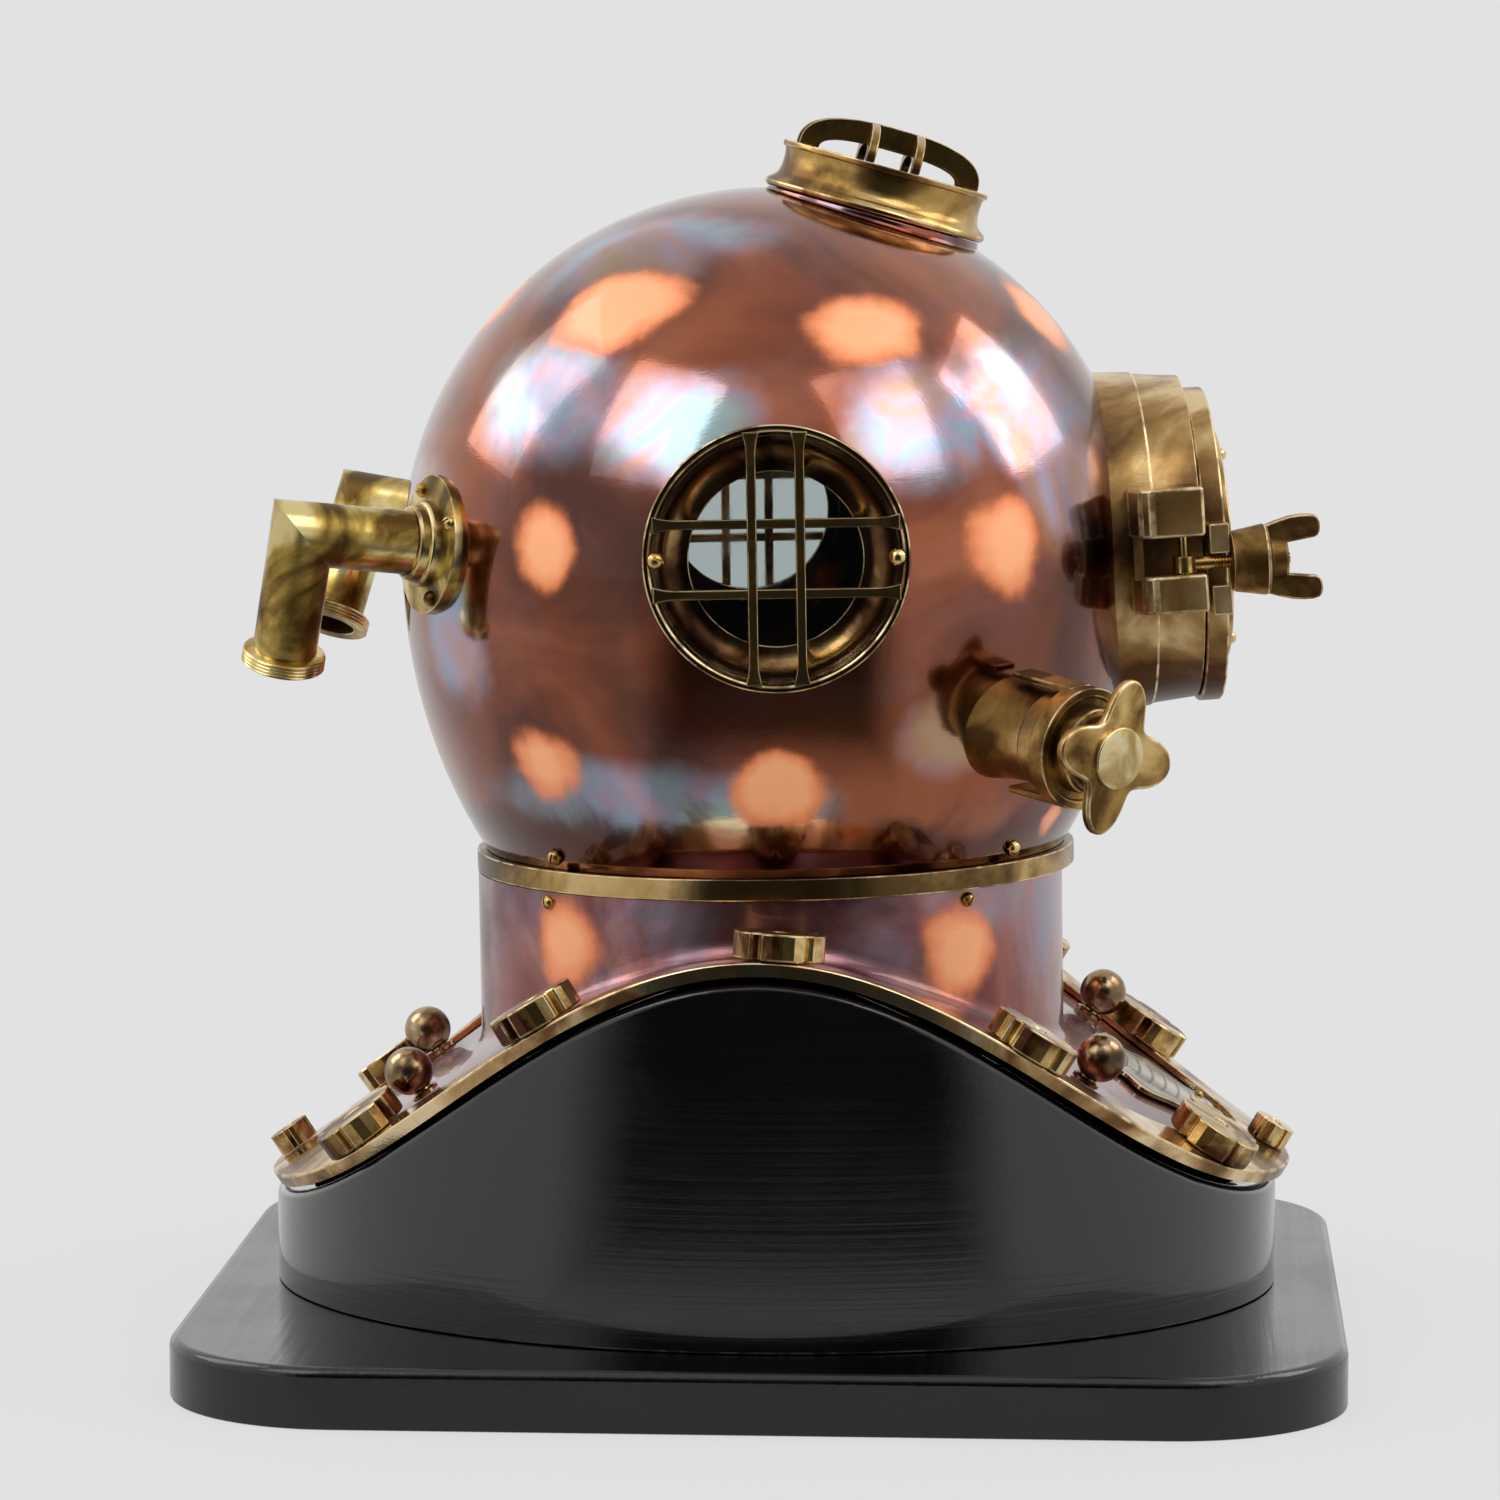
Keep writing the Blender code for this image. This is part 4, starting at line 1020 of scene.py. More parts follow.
@dataclass
class Corselet(Assembly):
    """The copper neck and saddle, its brass strap, and what is fixed to them."""

    neck_radius: float = 0.1256
    neck_set_back: float = 0.0025
    foot_low: float = 0.130
    foot_rise: float = 0.049
    half_width: float = 0.1768
    half_length: float = 0.2163
    saddle: tuple[float, float, float] = (0.1832, -0.1915, 0.0816)
    fillet: float = 0.010
    strap_width: float = 0.024
    strap_thick: float = 0.0033
    strap_lip: float = 0.0022
    nut: tuple[float, float, float] = (0.0188, 0.0112, 0.0150)
    small_nut: tuple[float, float, float] = (0.0090, 0.0094, 0.0108)
    nut_places: tuple[tuple[str, float, float], ...] = (
        ("front", 0.0, 0.0), ("left_front_low", 40.5, 10.0), ("left_front_high", 59.0, 50.0),
        ("left_shoulder", 89.0, 30.0), ("left_back_high", 117.5, 5.0), ("left_back_low", 147.5, 44.0),
        ("back", 180.0, 0.0), ("right_back_low", -144.4, 33.0), ("right_back_high", -116.0, 62.0),
        ("right_shoulder", -86.9, 18.0), ("right_front_high", -57.1, 40.0), ("right_front_low", -26.5, 8.0))
    stud_inset: float = 0.0505
    stud_radius: float = 0.0102
    stud_places: tuple[tuple[str, float], ...] = (
        ("left_front", 37.6), ("left_back", 153.0), ("right_back", -147.5), ("right_front", -37.6))
    neck_spots: tuple[tuple[float, float, float, float], ...] = (
        (130.0, 0.1835, 0.019, 0.021), (48.0, 0.1785, 0.021, 0.022), (-32.0, 0.1760, 0.020, 0.020),
        (-88.0, 0.1960, 0.020, 0.010), (-134.0, 0.1820, 0.020, 0.022), (178.0, 0.1640, 0.022, 0.023))
    screw: float = 0.9 * 0.0034
    screw_drop: float = 0.0046
    screw_turns: tuple[float, ...] = (46.0, 134.0, 226.0, 314.0)
    body = Body.CORSELET
    base = CORSELET_FRAME

    @classmethod
    def foot_point(cls, angle: float) -> Vector:
        """Where the neck's wall meets the slope.

        Args:
            angle: radians round from the front towards the left.

        Returns:
            The point.
        """
        height = cls.foot_low + cls.foot_rise * math.sin(angle) ** 2
        across, back = cls.neck_radius * math.sin(angle), cls.neck_radius * math.cos(angle)
        return Vector((across, cls.neck_set_back - back, height))

    @classmethod
    def edge_point(cls, angle: float) -> Vector:
        """The copper's outer edge: low in front and at the back, high over the shoulders.

        Args:
            angle: radians round from the front towards the left.

        Returns:
            The edge's point.
        """
        share = math.cos(angle)
        height = sum(part * share ** power for part, power in zip(cls.saddle, (0, 2, 4)))
        return Vector((cls.half_width * math.sin(angle), -cls.half_length * share, height))

    @classmethod
    def flat_point(cls, angle: float, share: float) -> Vector:
        """A point share of the way down the slope."""
        return cls.foot_point(angle).lerp(cls.edge_point(angle), share)

    @classmethod
    def slope_normal(cls, angle: float, share: float) -> Vector:
        """The slope's outward normal.

        Args:
            angle: radians round from the front towards the left.
            share: how far down the slope, from 0 at the neck to 1 at the edge.

        Returns:
            The normal, of length 1.
        """
        nudge = 0.01
        along = cls.flat_point(angle + nudge, share) - cls.flat_point(angle - nudge, share)
        normal = (cls.edge_point(angle) - cls.foot_point(angle)).cross(along).normalized()
        return normal if normal.z > 0 else -normal

    @classmethod
    def slope_point(cls, angle: float, share: float, lift: float = 0.0) -> Vector:
        """A point share of the way down the slope, lifted along its normal."""
        return cls.flat_point(angle, share) + cls.slope_normal(angle, share) * lift

    @classmethod
    def slope_frame(cls, angle: float, inset: float, lift: float) -> Matrix:
        """A frame standing on the slope: +Z is its normal and +Y points up it.

        Args:
            angle: the place round the rim.
            inset: how far up from the edge.
            lift: how far off the copper.

        Returns:
            The frame, in the corselet's.
        """
        foot, edge = cls.foot_point(angle), cls.edge_point(angle)
        share = 1.0 - inset / (edge - foot).length
        normal = cls.slope_normal(angle, share)
        side = (foot - edge).normalized().cross(normal).normalized()
        turn = Matrix((side, normal.cross(side), normal)).transposed().to_4x4()
        return Matrix.Translation(cls.slope_point(angle, share, lift)) @ turn

    def line(self, angle: float) -> list[Vector]:
        """One line of the copper from the neck's top, round the fillet and down to the edge.

        Args:
            angle: radians round from the front towards the left.

        Returns:
            The line's points in order.
        """
        foot, edge = self.foot_point(angle), self.edge_point(angle)
        up, down = Vector((0, 0, 1)), (edge - foot).normalized()
        corner = up.angle(down)
        reach = self.fillet / math.tan(corner / 2)
        start, stop = foot + up * reach, foot + down * reach
        middle = foot + (up + down).normalized() * (self.fillet / math.sin(corner / 2))
        top = Vector((foot.x, foot.y, SEAT_Z - GAP))
        points = [top.lerp(start, k / 4) for k in range(4)]
        first, last = (start - middle).normalized(), (stop - middle).normalized()
        points += [middle + first.slerp(last, k / 6) * self.fillet for k in range(7)]
        points += [stop.lerp(edge, k / 6) for k in range(1, 7)]
        return points

    def spot_distance(self, point: Vector) -> float:
        """How far a point of the neck is from its nearest burnished spot, as a share of the spot.

        Args:
            point: the point of the neck.

        Returns:
            The share, which is 1 at the spot's border.
        """
        turn = math.atan2(-point.x, -point.y)
        best = 3.0
        for centre, height, half_width, half_height in self.neck_spots:
            across = ((turn - math.radians(centre) + math.pi) % math.tau - math.pi) * self.neck_radius
            best = min(best, math.hypot(across / half_width, (point.z - height) / half_height))
        return best

    def copper(self) -> Shape:
        """The copper sheet, neck and saddle in one.

        Returns:
            The copper's shape.
        """
        columns = 192
        lines = [self.line(math.tau * k / columns) for k in range(columns)]
        rows = len(lines[0]) - 1

        def place(u: float, v: float) -> Vector:
            """The point of the nearest line."""
            return lines[round(u * columns) % columns][round(v * rows)]

        return Shape.sheet(columns, rows, place).thicken(COPPER_THICK).field(SPOT, self.spot_distance)

    def strap(self) -> Shape:
        """The strap on the slope's edge, with a lip folded over the copper.

        Returns:
            The strap.
        """
        top, bottom, seat, fold = self.strap_thick + GAP, -self.strap_lip, 2 * GAP, 0.0011
        out, inner_round = -0.0022, 0.0009
        section = [(out, bottom)] + arc((out + fold, top - fold), fold, 180, 90, 4)
        section += arc((self.strap_width - inner_round, top - inner_round), inner_round, 90, 0, 3)
        section += [(self.strap_width, seat), (-seat, seat), (-seat, bottom)]
        columns = 216

        def place(u: float, v: float) -> Vector:
            """A point of the strap's surface.

            Args:
                u: share of the way round the rim.
                v: share of the way round the section.

            Returns:
                The point.
            """
            angle = math.tau * (round(u * columns) % columns) / columns
            across, lift = section[round(v * len(section)) % len(section)]
            foot, edge = self.foot_point(angle), self.edge_point(angle)
            share = self.strap_width / (foot - edge).length
            lean = self.slope_normal(angle, 1.0 - share if across > self.strap_width / 2 else 1.0)
            return edge + (foot - edge).normalized() * across + lean * lift

        shape = Shape.sheet(columns, len(section), place)
        mark = shape.mesh.faces.layers.float[EDGE]
        for face in shape.mesh.faces:
            if min(edge.calc_length() for edge in face.edges) < 0.6 * fold:
                face[mark] = 1.0
        return shape

    def lobed_nut(self, radius: float, height: float, lobes: int = 5) -> Shape:
        """A round nut with narrow notches between its lobes, a bore and the stud's end in it.

        Args:
            radius: the lobes' radius.
            height: the nut's height.
            lobes: how many lobes it has.

        Returns:
            The nut.
        """
        outline: list[Point] = []
        lobe, half_notch, depth = 360.0 / lobes, 7.5, radius - 0.0031 * radius / 0.0188
        for k in range(lobes):
            outline += arc((0, 0), radius, k * lobe + half_notch, (k + 1) * lobe - half_notch, 4)
            outline += arc((0, 0), depth, (k + 1) * lobe - 1.8, (k + 1) * lobe + 1.8, 2)
        bore = Shape.drum(0.0, 0.0034, height - 0.0035, height + 0.002, 24)
        stud = [(0.0, height - 0.0045), (0.0030, height - 0.0045), (0.0030, height - 0.0010),
                (0.0026, height - 0.0005), (0.0, height - 0.0004)]
        body = Shape.prism(outline, 0.0, height).carve([bore]).soften(0.0009, 3, 40)
        return body.take(Shape.turned(stud, 24))

    def stud(self) -> Shape:
        """A ball on a short stem with a round foot.

        Returns:
            The stud, standing on its own Z axis.
        """
        middle = 0.0030 + self.stud_radius - 0.0012
        profile = [(0.0, 0.0), (0.0062, 0.0), (0.0062, 0.0014), (0.0056, 0.0019), (0.0041, 0.0021)]
        start = -math.degrees(math.acos(0.0040 / self.stud_radius))
        profile += arc((0.0, middle), self.stud_radius, start, 90.0, 26)[:-1]
        return Shape.turned(profile + [(0.0, middle + self.stud_radius)], 48)

    @staticmethod
    def plate_half_width(share: float) -> float:
        """Half the name plate's width at a share of its height: a waisted cartouche."""
        return 0.046 * (0.86 + 0.14 * math.cos(4 * math.pi * share)) * (1.0 - 0.42 * abs(2 * share - 1) ** 6)

    def plate_row(self, share: float) -> tuple[float, float]:
        """A row of the name plate: its share of the slope, and its distance from the axis."""
        down = 0.155 + 0.535 * share
        return down, abs(self.flat_point(0, down).y)

    def ruled_plate(self) -> Shape:
        """The name plate with its places marked for the ruled lines.

        Returns:
            The marked plate.
        """
        shape = Shape()
        across = shape.mesh.verts.layers.float.new(ACROSS)
        down = shape.mesh.verts.layers.float.new(DOWN)
        bmesh.ops.create_grid(shape.mesh, x_segments=48, y_segments=36, size=0.5)
        for corner in shape.mesh.verts:
            u, v = corner.co.x + 0.5, corner.co.y + 0.5
            share, radius = self.plate_row(v)
            corner[across], corner[down] = u, v
            corner.co = self.slope_point(self.plate_half_width(v) * (2 * u - 1) / radius, share, 0.0030)
        shape.tidy()
        if sum(face.normal.z for face in shape.mesh.faces) < 0:
            bmesh.ops.reverse_faces(shape.mesh, faces=shape.mesh.faces[:])
        return shape.thicken(0.0019).soften(0.0005, 2, 55)

    def plate_screws(self) -> Shape:
        """The four screws at the name plate's corners.

        Returns:
            The four screws as one shape.
        """
        screws = Shape()
        for v in (0.10, 0.90):
            share, radius = self.plate_row(v)
            for side in (-1, 1):
                angle = side * (self.plate_half_width(v) - 0.0055) / radius
                inset = (1.0 - share) * (self.edge_point(angle) - self.foot_point(angle)).length
                seat = self.slope_frame(angle, inset, 0.0031) @ spun(37 * side * (1 + v))
                screws.take(slotted_screw(0.0021, 16), seat)
        return screws

    def build(self) -> None:
        """Make every piece of the corselet."""
        self.put("copper_corselet", self.copper(), Look.SHEET, "breastplate")
        self.put("brass_strap", self.strap(), Look.TRIM, "rim_strap", crease=50.0)
        for name, degrees, spin in self.nut_places:
            radius, height, inset = self.small_nut if name in ("front", "back") else self.nut
            seat = self.slope_frame(math.radians(degrees), inset, self.strap_thick + 2 * GAP + 0.0002)
            shape = self.lobed_nut(radius, height).place(seat @ spun(spin))
            self.put(f"lobed_nut_{name}", shape, Look.NUT, f"rim_nut_{name}", crease=14.0)
        for name, degrees in self.stud_places:
            seat = self.slope_frame(math.radians(degrees), self.stud_inset, GAP + 0.0004)
            self.put(f"weight_stud_{name}", self.stud().place(seat), Look.STUD, f"ball_stud_{name}",
                     crease=50.0)
        self.put("ruled_name_plate", self.ruled_plate(), Look.PLATE, "nameplate")
        self.put("name_plate_screws", self.plate_screws(), Look.GOLD)
        foot = Vector((0, self.neck_set_back, SEAT_Z - self.screw_drop))
        for k, turn in enumerate(self.screw_turns, start=1):
            seat = facing(turn, 0.0, foot) @ moved(0, 0, self.neck_radius + GAP) @ spun(50.0 * k)
            self.put(f"neck_ring_screw_{k}", slotted_screw(self.screw).place(seat), Look.GOLD,
                     f"neck_screw_{k}")


# The bonnet


def patch_reach(turn: float, lift: float, patch: Sequence[float]) -> float:
    """How far a direction is from a patch's middle, 1 at its border.

    Args:
        turn: degrees from the front towards the right.
        lift: degrees above level.
        patch: the middle's turn and lift, then half its width and half its height, all in degrees.

    Returns:
        The distance, as a share of the patch.
    """
    across = (turn - patch[0] + 180.0) % 360.0 - 180.0
    return math.hypot(across * math.cos(math.radians(lift)) / patch[2], (lift - patch[1]) / patch[3])


@dataclass
class Bonnet(Assembly):
    """The spun copper head, the brass ring at its foot and their screws."""

    steps: int = 160
    rows: int = 44
    ring_radius: float = 0.1283
    ring_bore: float = 0.1210
    screw: float = 0.0034
    screw_rise: float = 0.0060
    screw_turns: tuple[float, ...] = (42.0, 138.0, 222.0, 318.0)
    spots: tuple[tuple[float, ...], ...] = (
        (126.0, 45.0, 9.6, 7.4), (72.0, 40.0, 10.2, 6.6), (128.5, 5.6, 6.3, 7.9), (54.0, 4.5, 7.3, 8.4),
        (133.0, -27.0, 7.6, 7.4), (92.0, -30.0, 6.4, 5.8), (32.0, -39.0, 3.0, 3.2), (18.0, 41.0, 8.8, 6.8),
        (180.0, 43.0, 9.4, 7.2), (-126.0, 42.0, 9.2, 7.0), (-72.0, 43.0, 9.8, 6.8), (-54.0, 5.0, 7.2, 8.0),
        (-128.0, 6.0, 6.6, 8.2), (-45.0, -28.0, 7.0, 6.4), (-92.0, -29.0, 6.8, 6.0),
        (-135.0, -27.0, 7.4, 7.0), (180.0, -27.0, 7.4, 6.8))
    # Tint patches (turn, lift, half width, half height, hue): the four at turns 132, 107, 67 and 45 lie where
    # the lamps' highlights fall and paint them bluish white, a painted highlight colour; the rest are heat
    # tint.
    tinted: tuple[tuple[float, ...], ...] = (
        (132.0, 29.0, 12.0, 9.0, 0.60), (107.0, 25.0, 12.0, 9.0, 0.52), (67.0, 24.0, 11.0, 9.0, 0.56),
        (45.0, 26.0, 13.0, 10.0, 0.50), (133.0, 58.0, 17.0, 11.0, 0.50), (117.0, -33.0, 22.0, 6.0, 0.60),
        (40.0, 14.0, 9.0, 10.0, 0.45), (62.0, -22.0, 8.0, 6.0, 0.42), (150.0, -10.0, 8.0, 9.0, 0.56),
        (10.0, 62.0, 12.0, 8.0, 0.47), (-24.0, 30.0, 7.0, 10.0, 0.43), (-62.0, 26.0, 13.0, 7.0, 0.48),
        (-112.0, 25.0, 12.0, 7.0, 0.45), (-146.0, 20.0, 7.0, 12.0, 0.46), (168.0, 12.0, 14.0, 6.0, 0.43),
        (-75.0, -33.0, 20.0, 5.5, 0.58), (-160.0, -34.0, 18.0, 5.5, 0.52), (-110.0, 60.0, 15.0, 8.0, 0.47))

    def outline(self, inset: float) -> list[Point]:
        """The bonnet's outline from its foot to its crown, inset by a thickness.

        Args:
            inset: the thickness.

        Returns:
            Its (radius, height) points.
        """
        foot = SEAT_Z + RING_HEIGHT + GAP
        radius, low_axis = BONNET_RADIUS - inset, BONNET_LOW_AXIS - inset
        lowest = -math.asin((BALL.z - foot) / low_axis)
        points = []
        for k in range(self.rows + 1):
            angle = lowest + (math.pi / 2 - lowest) * k / self.rows
            axis = low_axis if angle < 0 else radius
            points.append((radius * math.cos(angle), BALL.z + axis * math.sin(angle)))
        points[-1] = (0.0, points[-1][1])
        return points

    def bores(self) -> list[Shape]:
        """The holes for the windows and the fittings.

        Returns:
            One shape for each hole.
        """
        places = [(SideWindow(side).seat, 0.0534) for side in Side]
        places += [(TopWindow.seat, 0.0395), (FrontWindow.seat, 0.0590),
                   (ExhaustValve.seat @ moved(0, 0, -0.140), 0.0120)]
        places += [(AirElbow(side).stem, 0.0113) for side in Side]
        return [Shape.drum(0.0, radius, 0.100, 0.180, 48).place(where) for where, radius in places]

    @staticmethod
    def direction(point: Vector) -> tuple[float, float]:
        """A point's turn and lift, in degrees, seen from the middle of the ball."""
        flat = math.hypot(point.x, point.y)
        return math.degrees(math.atan2(-point.x, -point.y)), math.degrees(math.atan2(point.z - BALL.z, flat))

    def nearest(self, patches: Sequence[Sequence[float]]) -> Field:
        """What gives a point's distance from the nearest of some patches."""
        return lambda point: min(patch_reach(*self.direction(point), patch) for patch in patches)

    def tint_and_highlight_hue(self, point: Vector) -> float:
        """The film's place among its colours, from the heat-tint and painted highlight patches near by.

        Args:
            point: the point of the bonnet.

        Returns:
            The place, 0 to 1.
        """
        turn, lift = self.direction(point)
        shares = [(math.exp(-patch_reach(turn, lift, patch) ** 2), patch[4]) for patch in self.tinted]
        whole = sum(share for share, hue in shares) + 0.02
        return (sum(share * hue for share, hue in shares) + 0.02 * 0.4) / whole

    def copper(self) -> Shape:
        """The shell with its bores.

        Returns:
            The copper's shape.
        """
        profile = self.outline(0.0) + self.outline(COPPER_THICK)[::-1]
        shape = Shape.turned(profile, self.steps).carve(self.bores())
        # burnished spots, then tint patches whose upper four are painted highlight colour
        shape.field(SPOT, self.nearest(self.spots)).field(TINT_AND_HIGHLIGHT, self.nearest(self.tinted))
        return shape.field(HUE, self.tint_and_highlight_hue)

    def ring(self) -> Shape:
        """The flat-sided ring."""
        top = SEAT_Z + RING_HEIGHT
        return Shape.drum(self.ring_bore, self.ring_radius, SEAT_Z, top, self.steps).soften(0.0007, 2)

    def build(self) -> None:
        """Make the shell, the ring and the screws above it."""
        self.put("copper_bonnet", self.copper(), Look.BONNET, "bonnet")
        self.put("neck_ring", self.ring(), Look.RING, "collar_ring")
        height = SEAT_Z + RING_HEIGHT + self.screw_rise
        sink = -math.asin((BALL.z - height) / BONNET_LOW_AXIS)
        radius = BONNET_RADIUS * math.cos(sink)
        lean = -math.degrees(math.atan2(BONNET_RADIUS * math.sin(-sink), BONNET_LOW_AXIS * math.cos(sink)))
        for k, turn in enumerate(self.screw_turns, start=1):
            foot = facing(turn, 0.0, Vector()) @ Vector((0, 0, radius)) + Vector((0, 0, height))
            seat = facing(turn, lean, foot) @ moved(0, 0, 0.0009) @ spun(35.0 * k)
            self.put(f"bonnet_ring_screw_{k}", slotted_screw(self.screw).place(seat), Look.GOLD,
                     f"bonnet_screw_{k}")


# The windows


@dataclass
class SideWindow(Assembly):
    """A round side window: a dished frame, a raised rim with a barred grille, and its glass."""

    side: Side
    set_back: float = 1.6
    lift: float = 4.2
    radius: float = 0.0544
    opening: float = 0.0355
    bar: float = 0.0020
    flare: float = 0.0016
    screw: float = 0.0036

    @property
    def seat(self) -> Matrix:
        """The window's frame in the bonnet's."""
        return facing(-self.side.value * (90.0 + self.set_back), self.lift)

    def dish(self) -> Shape:
        """The frame that slopes in to the glass, with its retaining lip."""
        profile = [(self.opening, 0.1405), (0.0402, 0.1405), (0.0402, 0.1350), (0.0526, 0.1350),
                   (0.0526, 0.1540), (0.0500, 0.1540), (0.0484, 0.1512), (0.0462, 0.1487), (0.0436, 0.1466),
                   (0.0408, 0.1452), (0.0385, 0.1446), (self.opening, 0.1443)]
        return Shape.turned(profile, 120).soften(0.0005, 2, 42)

    def rim(self) -> Shape:
        """The raised rim round the frame."""
        profile = [(0.0495, 0.1450), (self.radius, 0.1450), (self.radius, 0.1567), (0.0518, 0.1567),
                   (0.0495, 0.1534)]
        return Shape.turned(profile, 144).soften(0.0009, 3, 25)

    def hooped_bar(self, half_length: float, low: float, high: float) -> Shape:
        """A straight grille bar along Y whose ends flare where they are soldered to the rim.

        Args:
            half_length: half the bar's length.
            low: the height of its underside.
            high: the height of its top.

        Returns:
            The bar.
        """
        outline = [(self.bar + self.flare * (1.0 - share) ** 2, -half_length + 0.010 * share)
                   for share in (k / 6 for k in range(7))]
        outline += [(x, -y) for x, y in reversed(outline)]
        outline += [(-x, y) for x, y in reversed(outline)]
        return Shape.prism(outline, low, high).soften(0.0007, 2, 50)

    def grille(self) -> Shape:
        """Two upright and two level bars.

        Returns:
            The bars as one shape.
        """
        bars = Shape()
        for spin, offset, low, high in ((0, 0.0098, 0.1538, 0.1578), (90, 0.0142, 0.1541, 0.1575)):
            half = math.sqrt(0.0522 ** 2 - offset ** 2)
            for shift in (-offset, offset):
                bars.take(self.hooped_bar(half, low, high), spun(spin) @ moved(shift, 0, 0))
        return bars

    def build(self) -> None:
        """Make the window's pieces."""
        word = self.side.word
        self.put(f"{word}_window_frame", self.dish().take(self.rim()), Look.DARK, f"side_port_{word}")
        self.put(f"{word}_window_grille", self.grille(), Look.YELLOW)
        glass = Shape.drum(0.0, 0.0398, 0.1353, 0.1400).soften(0.0005, 1)
        self.put(f"{word}_window_glass", glass, Look.GLASS, f"side_glass_{word}")
        for k, spin in ((1, 0), (2, 180)):
            tip = Matrix.Rotation(-0.7, 4, "Y")
            seat = spun(spin) @ moved(0.0488, 0, 0.1558) @ tip @ spun(20.0 + 70.0 * k)
            self.put(f"{word}_window_screw_{k}", slotted_screw(self.screw).place(seat), Look.GOLD,
                     f"side_port_screw_{word}_{k}")


@dataclass
class TopWindow(Assembly):
    """The top window: a copper collar, a waisted brass frame, its glass and an arched guard."""

    lengthwise: float = 0.0122
    cross: float = 0.0098
    foot: float = 0.1736
    rise: float = 0.0166
    depth: float = 0.0098
    thick: float = 0.0038
    seat = facing(0.0, 73.6, Vector((0.0, -0.0027, 0.3357)))

    def collar(self) -> Shape:
        """The copper collar under the frame."""
        profile = [(0.0398, 0.1440), (0.0476, 0.1440), (0.0471, 0.1480), (0.0467, 0.1527), (0.0398, 0.1527)]
        return Shape.turned(profile, 120).soften(0.0006, 2)

    def rim(self) -> Shape:
        """The frame, drawn in at its waist, with a flat lip on top."""
        profile = [(0.0398, 0.1530), (0.0466, 0.1530), (0.0481, 0.1539), (0.0484, 0.1552), (0.0476, 0.1565),
                   (0.0460, 0.1577), (0.0446, 0.1590), (0.0437, 0.1610), (0.0432, 0.1635), (0.0431, 0.1665),
                   (0.0433, 0.1692), (0.0437, 0.1708), (0.0448, 0.1712), (0.0450, 0.1718), (0.0450, 0.1735),
                   (0.0366, 0.1735), (0.0366, 0.1606), (0.0392, 0.1606)]
        return Shape.turned(profile, 120).soften(0.0005, 2, 40)

    def hoop(self, reach: float, rise: float, count: int = 40) -> list[Point]:
        """The points of a flattened half hoop, from its half width and its height."""
        angles = [math.pi * k / count for k in range(count + 1)]
        return [(reach * math.copysign(abs(math.cos(a)) ** 0.75, math.cos(a)),
                 self.foot + rise * math.sin(a) ** 0.75) for a in angles]

    def guard(self) -> Shape:
        """The four arches that stand on the lip, two each way.

        Returns:
            The arches as one shape.
        """
        bars = Shape()
        offsets = [(90, self.lengthwise), (90, -self.lengthwise), (0, self.cross), (0, -self.cross)]
        for spin, offset in offsets:
            half = math.sqrt(0.0412 ** 2 - offset ** 2)
            outline = self.hoop(half, self.rise) + self.hoop(half - 0.0085, self.rise - self.depth)[::-1]
            bar = Shape.prism(outline, -self.thick / 2, self.thick / 2).soften(0.0006, 2, 50)
            bars.take(bar, spun(spin) @ moved(0, offset, 0) @ spun(90, "X"))
        return bars

    def build(self) -> None:
        """Make the window's pieces."""
        self.put("top_window_collar", self.collar(), Look.COLLAR, "top_port_collar")
        self.put("top_window_frame", self.rim(), Look.YELLOW, "top_port_frame")
        glass = Shape.drum(0.0, 0.0388, 0.1558, 0.1602).soften(0.0005, 1)
        self.put("top_window_glass", glass, Look.GLASS, "top_glass")
        self.put("top_window_guard", self.guard(), Look.YELLOW, "top_guard")


